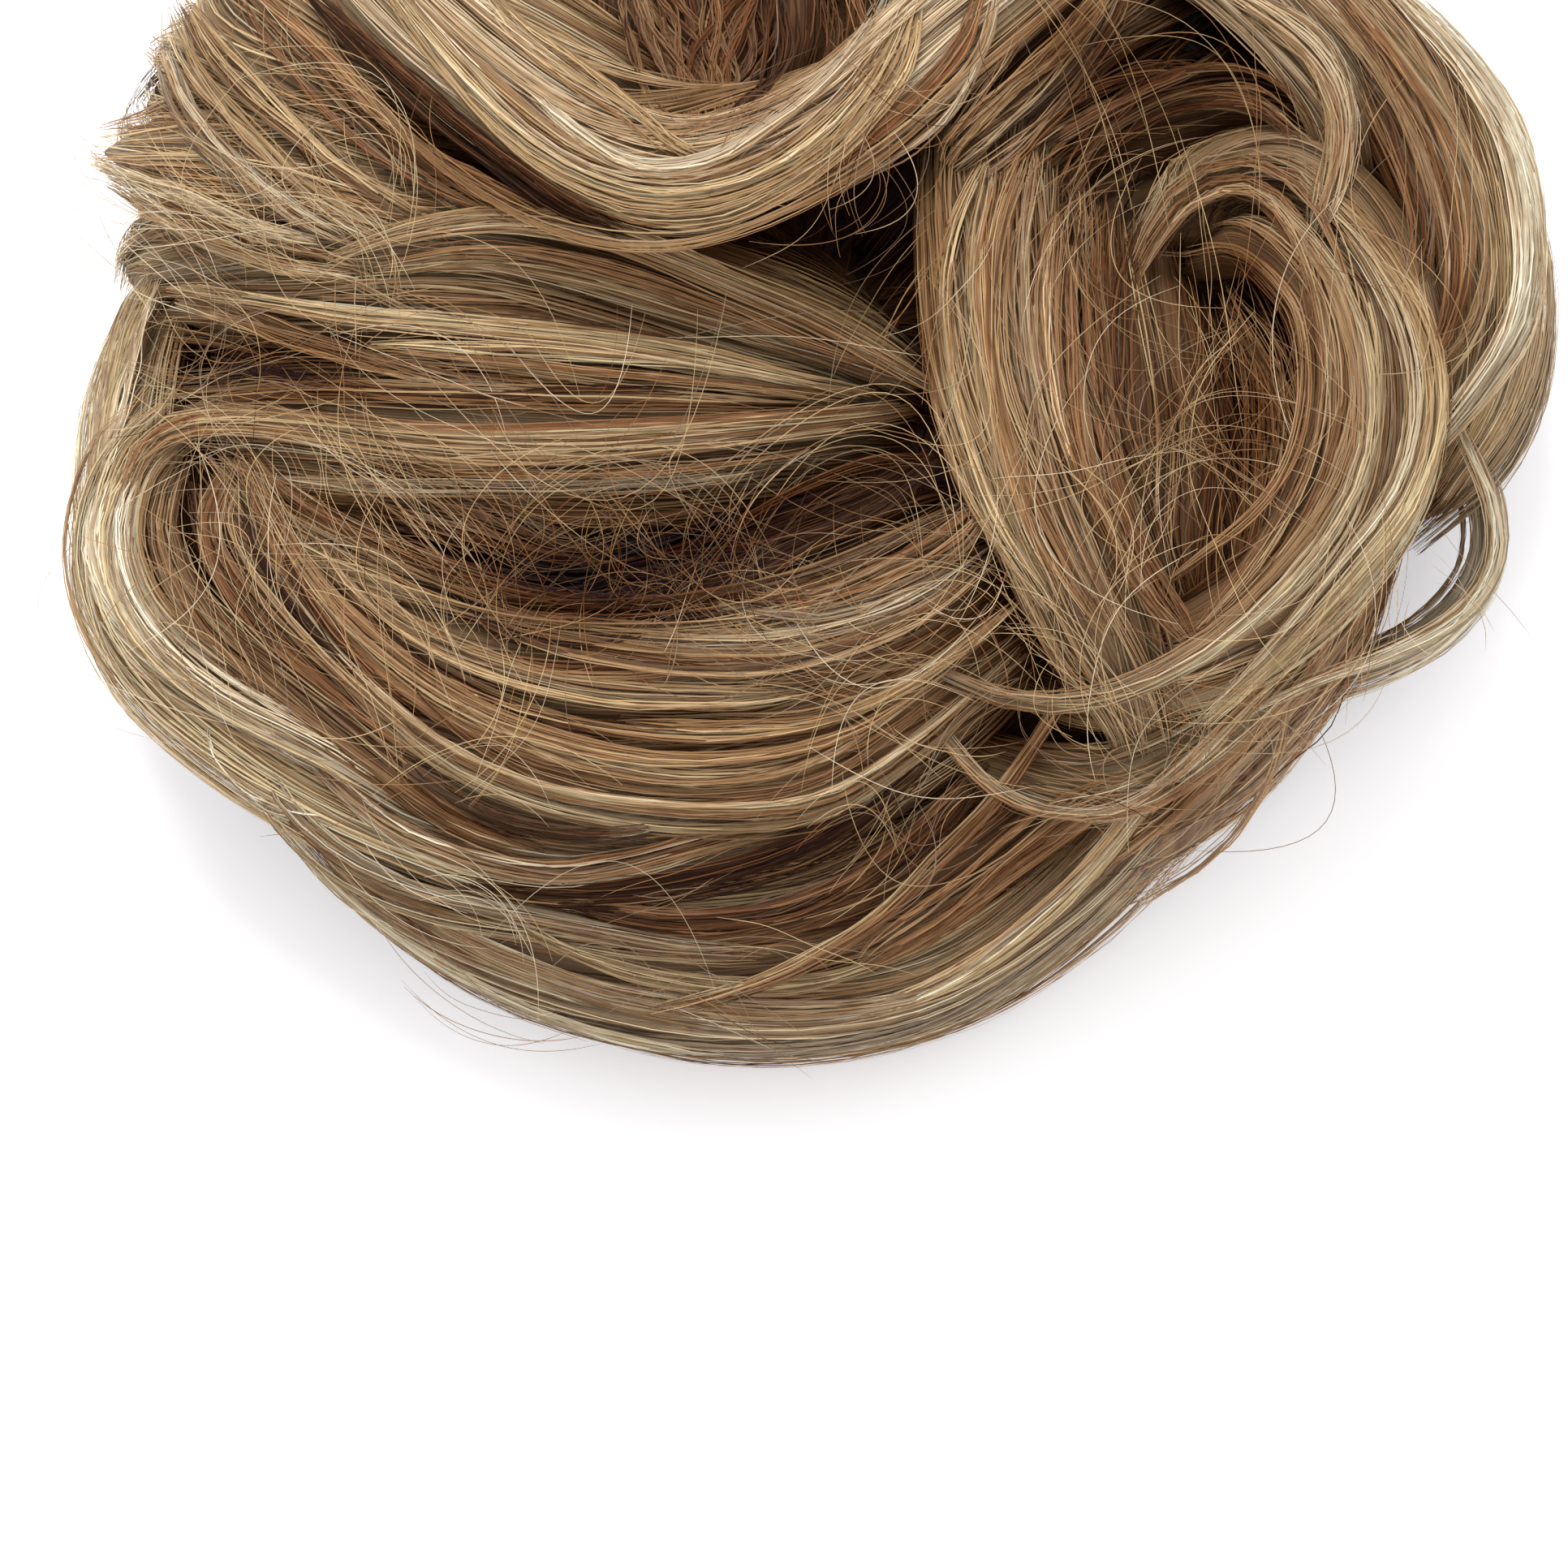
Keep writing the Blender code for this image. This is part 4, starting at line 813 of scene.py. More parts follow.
def finished_hairs(rng, name, places, facing, colours, relief):
    """The mesh of a lock's hairs, which narrow at their ends and have shade painted into their
    colour where they lie deep.
    """
    count, stations = places.shape[:2]
    share = np.linspace(0, 1, stations)
    widths = rng.uniform(look().thin, look().thick, (count, 1))
    full = ease(np.minimum(share, 1 - share) / TIP_LENGTH)
    widths = widths * (TIP_WIDTH + (1 - TIP_WIDTH) * full)[None]
    facing = unit_rows(facing) + np.array((0, 0, 0.35)) + rng.normal(0, 0.35, (count, 1, 3))
    fade = 1 + 0.10 * wander(rng, count, stations, (0.9, 1.9))
    # painted shade from the relief, redder where darker
    colours = colours[:, None, :] * (fade * relief.shade(places))[..., None] ** SHADE_TINT
    mesh = ribbon_mesh(name, places, facing, widths, colours)
    mesh.materials.append(hair_material())
    return mesh


def lock_hairs(lock, relief):
    """All the hairs of a lock: a shell of clumps round its upper side, and some that stray."""
    rng = np.random.default_rng(seed_of(lock.name))
    lay = Lay(lock, look().station_spacing)
    stations = len(lay.path)
    girth = math.pi * (lay.half_breadth.max() + lay.half_depth.max()) / 2
    count = int(lock.fill * girth / look().spacing)
    clumps = max(8, count // LOCK_CLUMP)
    clump = rng.integers(0, clumps, count)
    bare = math.radians(0 if lock.breadth < FREE_BREADTH else 60)
    clump_turns = rng.uniform(bare - math.pi / 2, 3 * math.pi / 2 - bare, clumps)
    turn = (clump_turns[:, None] + 0.28 * wander(rng, clumps, stations, (0.5, 1.1)))[clump]
    turn = turn + rng.normal(0, 0.09, (count, 1))
    proud = rng.uniform(0, 1, clumps)
    reach = (0.74 + 0.32 * proud)[:, None] + 0.07 * wander(rng, clumps, stations, (0.8, 1.7))
    reach = reach[clump] + rng.normal(0, 0.04, (count, 1))
    spilt = (rng.uniform(0, 1, clumps) < 0.20) * rng.uniform(0.10, 0.50, clumps)
    spilt = spilt[:, None] * (1 + 0.8 * wander(rng, clumps, stations, (0.6, 1.2)))
    across = np.cos(turn) * (reach + spilt[clump]) * lay.half_breadth + tangle(rng, count, stations)
    out = np.sin(turn) * reach * lay.half_depth + 0.8 * tangle(rng, count, stations)
    places = lay.path + lay.sideways * across[..., None] + lay.outward * out[..., None]
    places = trimmed(rng, places, 0, 1)
    facing = lay.sideways * (np.cos(turn) / lay.half_breadth)[..., None]
    facing = facing + lay.outward * (np.sin(turn) / lay.half_depth)[..., None]
    colours = hair_colours(rng, lock.tone, clump_turns, clump, proud)
    name = lock.name + "_hairs"
    hair_piece(name, finished_hairs(rng, name, places, facing, colours, relief), lock.group)


def lock_named(name):
    """The lock with this name."""
    return next(lock for lock in LOCKS if lock.name == name)


def resampled(rows, stations):
    """The rows spread evenly over another number of stations."""
    even = np.linspace(0, len(rows) - 1, stations)
    columns = rows.reshape(len(rows), -1).T
    return np.column_stack([np.interp(even, np.arange(len(rows)), column) for column in columns])


def sheet_hairs(sheet, relief):
    """Hairs that lie in the dip between two locks and join them into one broad lock."""
    first = lock_named(sheet.first)
    second = lock_named(sheet.second)
    name = sheet.first + "_to_" + sheet.second
    rng = np.random.default_rng(seed_of(name))
    lays = [Lay(lock, look().station_spacing) for lock in (first, second)]
    stations = max(len(lay.path) for lay in lays)
    paths = [resampled(lay.path, stations) for lay in lays]
    outwards = [resampled(lay.outward, stations) for lay in lays]
    depths = [resampled(lay.half_depth, stations) for lay in lays]
    if np.linalg.norm(paths[0][0] - paths[1][0]) > np.linalg.norm(paths[0][0] - paths[1][-1]):
        for rows in (paths, outwards, depths):
            rows[1] = rows[1][::-1]
    clumps = max(6, sheet.count // SHEET_CLUMP)
    clump = rng.integers(0, clumps, sheet.count)
    clump_mix = rng.uniform(-0.05, 1.05, clumps)
    mix = (clump_mix[:, None] + 0.22 * wander(rng, clumps, stations, (0.5, 1.0)))[clump]
    mix = np.clip(mix + rng.normal(0, 0.06, (sheet.count, 1)), -0.10, 1.10)[..., None]
    proud = rng.uniform(0, 1, clumps)
    lift = sheet.lift + 0.10 * wander(rng, clumps, stations, (0.7, 1.5))[clump][..., None]
    outward = outwards[0] * (1 - mix) + outwards[1] * mix
    sideways = np.cross(unit_rows(np.gradient(paths[0], axis=0)), outward)
    places = paths[0] * (1 - mix) + paths[1] * mix
    places = places + outward * (depths[0] * (1 - mix) + depths[1] * mix) * lift
    places = places + sideways * tangle(rng, sheet.count, stations)[..., None]
    places = places + outward * 0.5 * tangle(rng, sheet.count, stations)[..., None]
    places = trimmed(rng, places, sheet.start, sheet.end)
    colours = hair_colours(rng, sheet.tone, clump_mix, clump, proud)
    hair_piece(name, finished_hairs(rng, name, places, outward, colours, relief), first.group)


def tube_rings(lock, shrink, sides, point=0.0):
    """The rings of the plain tube inside a lock. It comes to a point over the share point."""
    lay = Lay(lock, look().station_spacing)
    turns = 2 * math.pi * np.arange(sides) / sides
    across = lay.sideways[:, None] * (np.cos(turns)[None] * lay.half_breadth[:, None])[..., None]
    out = lay.outward[:, None] * (np.sin(turns)[None] * lay.half_depth[:, None])[..., None]
    share = lay.run / lay.run[-1]
    pointed = np.ones(len(share))
    if point:
        pointed = np.sqrt(np.clip(np.minimum(share, 1 - share) / point, 0.02, 1))
    rings = lay.path[:, None] + (across + out) * shrink * pointed[:, None, None]
    rings[..., 2] = np.maximum(rings[..., 2], FLOOR_GAP)
    return rings


def tubes_mesh(name, all_rings):
    """One closed mesh per lock, joined, with the run along v and the girth along u."""
    mesh = bmesh.new()
    flat = mesh.loops.layers.uv.new("run")
    for rings in all_rings:
        sides = rings.shape[1]
        verts = [[mesh.verts.new(corner) for corner in ring] for ring in rings]
        for i, (ring, following) in enumerate(zip(verts, verts[1:])):
            for k in range(sides):
                after = (k + 1) % sides
                face = mesh.faces.new((ring[k], ring[after], following[after], following[k]))
                face.smooth = True
                corners = ((k, i), (k + 1, i), (k + 1, i + 1), (k, i + 1))
                for loop, (u, v) in zip(face.loops, corners):
                    loop[flat].uv = (u / sides, v / (len(verts) - 1))
        mesh.faces.new(verts[0][::-1])
        mesh.faces.new(verts[-1])
    bmesh.ops.recalc_face_normals(mesh, faces=mesh.faces)
    data = bpy.data.meshes.new(name)
    mesh.to_mesh(data)
    mesh.free()
    return data


def underlayer(name, all_rings, colours, relief):
    """Plain bodies under the hairs, with shade painted into their colour where they lie deep."""
    data = tubes_mesh(name, all_rings)
    places = np.concatenate([rings.reshape(-1, 3) for rings in all_rings])
    shades = relief.shade(places)[:, None] ** SHADE_TINT
    paint_points(data, np.concatenate(colours) * shades)
    data.materials.append(underlayer_material())
    return data


def tone_middle(tone):
    """The mean colour of a tone."""
    palette, mix = tone_mix(tone)
    return (palette * mix[:, None]).sum(axis=0) / mix.sum()


def tone_painted(tone, rings):
    """The mean colour of a tone, for each corner of some rings."""
    return np.tile(tone_middle(tone), (rings[..., 0].size, 1))


def lock_body(lock):
    """The rings of the plain body inside a lock."""
    shrink = FREE_BODY_SHARE if lock.breadth < FREE_BREADTH else BODY_SHARE
    return tube_rings(lock, shrink, 14, BODY_POINT)


def build_group(group, relief):
    """The hairs of each lock of a group, over one plain layer that fills the locks, painted darker
    as the shade inside them.
    """
    locks = [lock for lock in LOCKS if lock.group == group]
    all_rings = [lock_body(lock) for lock in locks]
    colours = [tone_painted(lock.tone, rings) for lock, rings in zip(locks, all_rings)]
    name = group + "_underlayer"
    hair_piece(name, underlayer(name, all_rings, colours, relief), group)
    for lock in locks:
        lock_hairs(lock, relief)
    for sheet in SHEETS:
        if sheet.first in [lock.name for lock in locks]:
            sheet_hairs(sheet, relief)


def build_groups(*groups):
    """The locks on each of these solids."""
    relief = Relief()
    for group in groups:
        build_group(group, relief)


def blurred(grid, passes):
    """The grid with each value mixed with its four neighbours, again and again."""
    for _ in range(passes):
        padded = np.pad(grid, 1, mode="edge")
        beside = padded[:-2, 1:-1] + padded[2:, 1:-1] + padded[1:-1, :-2] + padded[1:-1, 2:]
        grid = (beside + 4 * grid) / 8
    return grid


def widened(grid, passes):
    """The grid with each value raised to the highest of its neighbours, again and again."""
    for _ in range(passes):
        padded = np.pad(grid, 1, mode="edge")
        rows = np.maximum(np.maximum(padded[:-2], padded[1:-1]), padded[2:])
        grid = np.maximum(np.maximum(rows[:, :-2], rows[:, 1:-1]), rows[:, 2:])
    return grid


class Relief:
    """The height of the knot's upper surface over a grid, and grids that are evened from it."""

    def __init__(self):
        verts = []
        faces = []
        for lock in LOCKS:
            rings = tube_rings(lock, 1.0, 10)
            sides = rings.shape[1]
            base = len(verts)
            verts.extend(map(tuple, rings.reshape(-1, 3)))
            for i in range(len(rings) - 1):
                for k in range(sides):
                    after = (k + 1) % sides
                    faces.append((base + i * sides + k, base + i * sides + after,
                                  base + (i + 1) * sides + after, base + (i + 1) * sides + k))
        surface = BVHTree.FromPolygons(verts, faces)
        self.low = np.array(CAD_BOX[0][:2]) - GRID_MARGIN
        high = np.array(CAD_BOX[1][:2]) + GRID_MARGIN
        heights = np.zeros(np.ceil((high - self.low) / GRID_STEP).astype(int))
        down = Vector((0, 0, -1))
        for i, j in np.ndindex(heights.shape):
            across, away = self.low + GRID_STEP * np.array((i, j))
            hit = surface.ray_cast(Vector((across, away, ABOVE_ALL)), down)[0]
            heights[i, j] = hit.z if hit else 0.0
        # the mean height round each place, and how much of what is round it is hair
        self.around = blurred(heights, 60)
        self.inside = blurred((heights > 0.003).astype(float), 60)
        # the surface that strands lie on, and the smoother one that loose hairs lie on
        self.skin = blurred(widened(heights, 1), 8)
        self.drape = blurred(widened(heights, 3), 14)

    def sample(self, grid, places):
        """The grid's values at places, evened between its corners."""
        spot = (places[..., :2] - self.low) / GRID_STEP
        spot = np.clip(spot, 0, np.array(grid.shape) - 1.001)
        cell = spot.astype(int)
        part = spot - cell
        i, j = cell[..., 0], cell[..., 1]
        low_row = grid[i, j] * (1 - part[..., 0]) + grid[i + 1, j] * part[..., 0]
        high_row = grid[i, j + 1] * (1 - part[..., 0]) + grid[i + 1, j + 1] * part[..., 0]
        return low_row * (1 - part[..., 1]) + high_row * part[..., 1]

    def shade(self, places):
        """The shade painted into the hair's colour: 1 for hair on top, less where it lies deep, more at
        the rim, and changed by the patches of painted shade and highlight.
        """
        depth = self.sample(self.around, places) - places[..., 2]
        shade = np.maximum(np.exp(-np.maximum(depth, 0) / look().shade_depth), look().darkest)
        rim = np.clip((RIM_SHARE - self.sample(self.inside, places)) / RIM_FADE, 0, 1)
        shade = shade + rim * (np.maximum(shade, RIM_LIGHT) - shade)
        seen = picture_places(places)
        # each patch paints shade on the hairs seen in it; one whose strength is below nothing paints a
        # highlight
        for hollow in SHADING_PATCHES:
            aside = seen - np.array((hollow.across, hollow.down))
            turn = math.radians(hollow.turn)
            along = (aside[..., 0] * math.cos(turn) + aside[..., 1] * math.sin(turn)) / hollow.wide
            off = (aside[..., 1] * math.cos(turn) - aside[..., 0] * math.sin(turn)) / hollow.high
            shade = shade * (1 - hollow.strength * np.exp(-(along ** 2 + off ** 2) ** 1.4))
        return shade


def camera_frame():
    """The stage camera's place and its three directions: right, up and forward."""
    stage = bpy.context.scene.top_knot_stage
    up = np.array((0, math.sin(stage.elevation), math.cos(stage.elevation)))
    forward = np.array((0, math.cos(stage.elevation), -math.sin(stage.elevation)))
    return AXIS + np.array(stage.aim) - forward * stage.distance, np.array((1.0, 0, 0)), up, forward


def picture_places(places):
    """Where these places of the scene are seen in the picture, in its pixels."""
    stage = bpy.context.scene.top_knot_stage
    eye, right, up, forward = camera_frame()
    sight = places - eye
    scale = stage.distance / stage.view_width * PICTURE / (sight @ forward)
    return PICTURE / 2 + np.stack((sight @ right * scale, -(sight @ up) * scale), axis=-1)


def seen_at(places, grid, relief, smoothing, lift):
    """Lays hairs on the knot so that they are seen at these places of the picture, in its pixels.

    Each station goes down along the line of sight as far as the surface that the grid gives. Its
    height is then evened along the hair, and lift is added to it.
    """
    stage = bpy.context.scene.top_knot_stage
    eye, right, up, forward = camera_frame()
    reach = (places - PICTURE / 2) / PICTURE * stage.view_width / stage.distance
    sight = forward + reach[..., :1] * right - reach[..., 1:] * up
    found = np.zeros(places.shape[:2])
    above = np.ones(places.shape[:2], dtype=bool)
    for height in np.linspace(SIGHT_TOP, 0, SIGHT_STEPS):
        spot = eye + sight * ((height - eye[2]) / sight[..., 2:])
        hit = above & (relief.sample(grid, spot) >= height)
        found[hit] = height
        above &= ~hit
    found = np.maximum(found, LOWEST_SHARE * found.max(axis=1, keepdims=True))
    for _ in range(smoothing):
        padded = np.pad(found, ((0, 0), (1, 1)), mode="edge")
        found = (padded[:, :-2] + 2 * padded[:, 1:-1] + padded[:, 2:]) / 4
    height = found + lift
    return eye + sight * ((height - eye[2]) / sight[..., 2])[..., None]


def strand_hairs(rng, strand, relief):
    """The places and colours of a strand's hairs."""
    stations = STRAND_STATIONS
    flat = np.array([(across, down, 0.0) for across, down in strand.stations])
    path = resampled(smooth_path(flat, 6.0), stations)[:, :2]
    along = unit_rows(np.gradient(path, axis=0))
    aside = np.column_stack((-along[:, 1], along[:, 0]))
    clumps = max(4, strand.count // STRAND_CLUMP)
    clump = rng.integers(0, clumps, strand.count)
    clump_aside = rng.uniform(-1, 1, clumps)
    offset = clump_aside[:, None] + 0.30 * wander(rng, clumps, stations, (0.5, 1.0))
    share = np.linspace(0, 1, stations)
    pinch = 0.35 + 0.65 * np.sin(math.pi * share) ** 0.6
    offset = offset[clump] * strand.half_breadth * pinch + rng.normal(0, 2.6, (strand.count, 1))
    pixel = bpy.context.scene.top_knot_stage.view_width / PICTURE
    offset = offset + tangle(rng, strand.count, stations) / pixel
    places = path[None] + aside[None] * offset[..., None]
    places = trimmed(rng, places, 0, 1)
    proud = rng.uniform(0, 1, clumps)
    least, by_clump, by_hair = STRAND_LIFTS
    lift = least + by_clump * proud[clump][:, None] + rng.uniform(0, by_hair, (strand.count, 1))
    lift = lift * ease(np.minimum(share, 1 - share) / 0.10) - STRAND_SINK
    places = seen_at(places, relief.skin, relief, 8, lift)
    colours = hair_colours(rng, strand.tone, clump_aside, clump, proud)
    return places, colours


def strand_group(node, relief):
    """One mesh of all the thin strands that lie on a solid."""
    name = node + "_strands"
    rng = np.random.default_rng(seed_of(name))
    parts = [strand_hairs(rng, Strand(*row), relief) for row in STRANDS.get(node, ())]
    if not parts:
        return
    places = np.concatenate([part[0] for part in parts])
    colours = np.concatenate([part[1] for part in parts])
    facing = np.broadcast_to(-camera_frame()[3], places.shape)
    hair_piece(name, finished_hairs(rng, name, places, facing, colours, relief), node)


def loose_paths(rng, loose):
    """Where the hairs of an oblong are seen in the picture. A few at a time stray the same way."""
    share = np.linspace(-0.5, 0.5, LOOSE_STATIONS)
    count = loose.count
    bundles = max(3, count // LOOSE_BUNDLE)
    bundle = rng.integers(0, bundles, count)
    middle = rng.uniform((loose.left, loose.top), (loose.right, loose.bottom), (bundles, 2))
    middle = middle[bundle] + rng.normal(0, 18, (count, 2))
    heading = rng.normal(0, loose.fanning, (bundles, 1))[bundle] + rng.normal(0, 7, (count, 1))
    heading = np.radians(loose.heading + heading)
    length = loose.length * rng.uniform(0.5, 1.6, (count, 1))
    bow = rng.normal(0, 0.24, (bundles, 1))[bundle] + rng.normal(0, 0.06, (count, 1))
    bow = length * bow * (1 - 4 * share ** 2)
    pace = rng.uniform(0.6, 1.6, (count, 1))
    wave = 2 * math.pi * share * pace + rng.uniform(0, 6, (count, 1))
    bow = bow + 0.010 * length * np.sin(wave)
    run = share * length
    right = np.cos(heading) * run - np.sin(heading) * bow
    down = np.sin(heading) * run + np.cos(heading) * bow
    return middle[:, None] + np.stack((right, down), axis=-1)


def loose_hairs(node, relief):
    """One mesh of all the single loose hairs that lie across a solid."""
    name = node + "_loose_hairs"
    rng = np.random.default_rng(seed_of(name))
    all_places = []
    all_colours = []
    for row in LOOSE.get(node, ()):
        loose = Loose(*row)
        all_places.append(loose_paths(rng, loose))
        all_colours.append(tone_colours(rng, loose.tone, loose.count) * 0.92)
    if not all_places:
        return
    places = np.concatenate(all_places)
    colours = np.concatenate(all_colours)
    count = len(places)
    share = np.linspace(-0.5, 0.5, LOOSE_STATIONS)
    lift = rng.uniform(*LOOSE_LIFTS, (count, 1))
    lift = lift + rng.uniform(0, LOOSE_BOW, (count, 1)) * (1 - 4 * share ** 2)
    places = seen_at(places, relief.drape, relief, 10, lift)
    facing = -camera_frame()[3] + rng.normal(0, 0.3, (count, 1, 3))
    widths = rng.uniform(*LOOSE_WIDTHS, (count, 1))
    widths = widths * (0.4 + 0.6 * ease((0.5 - np.abs(share)) / 0.15))
    shade = np.clip(relief.shade(places), 0.12, 1.0)[..., None] ** (0.6 * SHADE_TINT)
    mesh = ribbon_mesh(name, places, np.broadcast_to(facing, places.shape), widths,
                       colours[:, None, :] * shade)
    mesh.materials.append(hair_material())
    hair_piece(name, mesh, node, stands_in=False)


def core_point(level, turn):
    """A place on the core's skin: level is from 0 at the rim to 1 at the crown."""
    steps = np.linspace(0, 1, len(CORE_OUTLINE))
    reach, rise = (np.interp(level, steps, column) for column in zip(*CORE_OUTLINE))
    knot = sizes()
    return np.stack((AXIS[0] + reach * knot.half_width * np.cos(turn),
                     AXIS[1] + reach * knot.half_depth * np.sin(turn),
                     rise * knot.height), axis=-1)


def core_hairs(relief):
    """Hairs wound round the core, which show in the hollows between the locks, darker there by painted
    shade.
    """
    rng = np.random.default_rng(seed_of("core_hairs"))
    count = CORE_HAIRS
    share = np.linspace(0, 1, CORE_STATIONS)[None]
    level = rng.uniform(0.12, 1.0, (count, 1)) + rng.normal(0, 0.20, (count, 1)) * (share - 0.5)
    level = np.clip(level, 0.05, 1)
    sweep = rng.uniform(0.5, 1.3, (count, 1)) * rng.choice((-1, 1), (count, 1))
    turn = rng.uniform(0, 2 * math.pi, (count, 1)) + sweep * share
    places = core_point(level, turn)
    facing = unit_rows(places - placed(0, 0, 0.2))
    lift = rng.uniform(0.0002, 0.0025, (count, 1))
    lift = lift * (0.6 + 0.4 * wander(rng, count, CORE_STATIONS, (1.0, 2.0)))
    places = places + facing * lift[..., None]
    colours = tone_colours(rng, "warm", count)
    return finished_hairs(rng, "core_hairs", places, facing, colours, relief)


def core_rings():
    """The wound core: a dome with the hollow, whose underside shows the rows that it is sewn in."""
    knot = sizes()
    radius = BAND_HIGH[0] - AXIS[0] + BAND_GAP
    inside = ((0.001, HOLLOW_DEPTH), (radius * 0.8, HOLLOW_DEPTH), (radius, HOLLOW_DEPTH * 0.9),
              (radius, 2 * FLOOR_GAP))
    levels = [(reach, reach, height) for reach, height in inside]
    rim = CORE_OUTLINE[0].reach
    for i in range(1, 2 * CORE_ROWS):
        share = i / (2 * CORE_ROWS)
        half_width = radius + (rim * knot.half_width - radius) * share
        half_depth = radius + (rim * knot.half_depth - radius) * share
        levels.append((half_width, half_depth, FLOOR_GAP if i % 2 else ROW_DIP))
    for i in range(CORE_STEPS + 1):
        level = i / CORE_STEPS
        place = core_point(level, 0)
        side = core_point(level, math.pi / 2)
        levels.append((place[0] - AXIS[0], side[1] - AXIS[1], max(place[2], FLOOR_GAP)))
    turns = np.linspace(0, 2 * math.pi, CORE_SIDES, endpoint=False)
    return np.array([np.column_stack((AXIS[0] + half_width * np.cos(turns),
                                      AXIS[1] + half_depth * np.sin(turns),
                                      np.full(CORE_SIDES, height)))
                     for half_width, half_depth, height in levels])


def node_graph(name):
    """A new material, its node tree and its shader."""
    material = bpy.data.materials.new(name)
    material.use_nodes = True
    tree = material.node_tree
    return material, tree, tree.nodes["Principled BSDF"]


def set_inputs(node, values):
    """Sets constants on a node's own sockets."""
    for socket, value in values.items():
        node.inputs[socket].default_value = value


def add_node(tree, kind, values=None, **settings):
    """A new node, with constants on its sockets and its other settings."""
    node = tree.nodes.new(kind)
    for key, value in settings.items():
        setattr(node, key, value)
    set_inputs(node, values or {})
    return node


def join(tree, *links):
    """Links outputs to inputs. Each link is a node, its output, the next node and its input."""
    for source, output, target, socket in links:
        tree.links.new(source.outputs[output], target.inputs[socket])


def hair_material():
    """Glossy hair that takes each hair's own colour, a little uneven along its length."""
    known = bpy.data.materials.get("hair_fibre")
    if known:
        return known
    material, tree, shader = node_graph("hair_fibre")
    place = add_node(tree, "ShaderNodeTexCoord")
    grain = add_node(tree, "ShaderNodeTexNoise", {"Scale": 420, "Detail": 2})
    ramp = add_node(tree, "ShaderNodeMapRange", {"To Min": 0.80, "To Max": 1.18})
    colour = add_node(tree, "ShaderNodeVertexColor", layer_name="hair_colour")
    mix = add_node(tree, "ShaderNodeVectorMath", operation="SCALE")
    join(tree,
         (place, "Object", grain, "Vector"),
         (grain, "Fac", ramp, "Value"),
         (colour, "Color", mix, 0),
         (ramp, "Result", mix, "Scale"),
         (mix, "Vector", shader, "Base Color"))
    set_inputs(shader, {"Roughness": 0.5, "Specular IOR Level": 0.07})
    return material


def underlayer_material():
    """The inside of a lock: its painted colour, in fine streaks along its run."""
    known = bpy.data.materials.get("hair_underlayer")
    if known:
        return known
    material, tree, shader = node_graph("hair_underlayer")
    flat = add_node(tree, "ShaderNodeUVMap", uv_map="run")
    stretch = add_node(tree, "ShaderNodeMapping", {"Scale": (150, 2.5, 1)})
    streaks = add_node(tree, "ShaderNodeTexNoise", {"Scale": 1.0, "Detail": 3}, noise_dimensions="2D")
    # the streaks take the colour down to between 0.22 and 0.95 of it: painted shade inside the lock
    ramp = add_node(tree, "ShaderNodeMapRange",
                    {"From Min": 0.32, "From Max": 0.68, "To Min": 0.22, "To Max": 0.95})
    colour = add_node(tree, "ShaderNodeVertexColor", layer_name="hair_colour")
    mix = add_node(tree, "ShaderNodeVectorMath", operation="SCALE")
    bump = add_node(tree, "ShaderNodeBump", {"Strength": 0.5, "Distance": 0.0003})
    join(tree,
         (flat, "UV", stretch, "Vector"),
         (stretch, "Vector", streaks, "Vector"),
         (streaks, "Fac", ramp, "Value"),
         (streaks, "Fac", bump, "Height"),
         (colour, "Color", mix, 0),
         (ramp, "Result", mix, "Scale"),
         (mix, "Vector", shader, "Base Color"),
         (bump, "Normal", shader, "Normal"))
    set_inputs(shader, {"Roughness": 0.6, "Specular IOR Level": 0.1})
    return material


def elastic_material():
    """Covered elastic: fine ribs of dark yarn."""
    material, tree, shader = node_graph("covered_elastic")
    place = add_node(tree, "ShaderNodeTexCoord")
    ribs = add_node(tree, "ShaderNodeTexWave", {"Scale": 300}, bands_direction="Z")
    yarn = add_node(tree, "ShaderNodeTexNoise", {"Scale": 1400})
    colours = add_node(tree, "ShaderNodeValToRGB")
    colours.color_ramp.elements[0].color = (0.012, 0.008, 0.006, 1)
    colours.color_ramp.elements[1].color = (0.07, 0.045, 0.03, 1)
    bump = add_node(tree, "ShaderNodeBump", {"Strength": 0.6, "Distance": 0.0003})
    join(tree,
         (place, "Object", ribs, "Vector"),
         (place, "Object", yarn, "Vector"),
         (yarn, "Fac", colours, "Fac"),
         (ribs, "Fac", bump, "Height"),
         (colours, "Color", shader, "Base Color"),
         (bump, "Normal", shader, "Normal"))
    set_inputs(shader, {"Roughness": 0.85})
    return material


class TOPKNOT_OT_core(bpy.types.Operator):
    """Add the wound core and the hairs round it"""
    bl_idname = "top_knot.core"
    bl_label = "Wound core"

    def execute(self, context):
        relief = Relief()
        rings = core_rings()
        data = underlayer("hair_core_body", [rings], [tone_painted("warm", rings)], relief)
        hair_piece("hair_core_body", data, "hair_core")
        hair_piece("core_hairs", core_hairs(relief), "hair_core")
        return {"FINISHED"}


class TOPKNOT_OT_elastic(bpy.types.Operator):
    """Give the elastic loop its covered finish"""
    bl_idname = "top_knot.elastic"
    bl_label = "Elastic loop"

    def execute(self, context):
        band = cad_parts["elastic_band"]
        material = elastic_material()
        for slot in band.material_slots:
            slot.material = material
        return {"FINISHED"}


class TOPKNOT_OT_crown(bpy.types.Operator):
    """Add the locks over the crown"""
    bl_idname = "top_knot.crown"
    bl_label = "Crown locks"

    def execute(self, context):
        build_groups("crown_loop", "crown_band")
        return {"FINISHED"}


class TOPKNOT_OT_upper_left(bpy.types.Operator):
    """Add the broad lock and the tuft at the upper left"""
    bl_idname = "top_knot.upper_left"
    bl_label = "Upper left sweep"

    def execute(self, context):
        build_groups("upper_left_sweep")
        return {"FINISHED"}


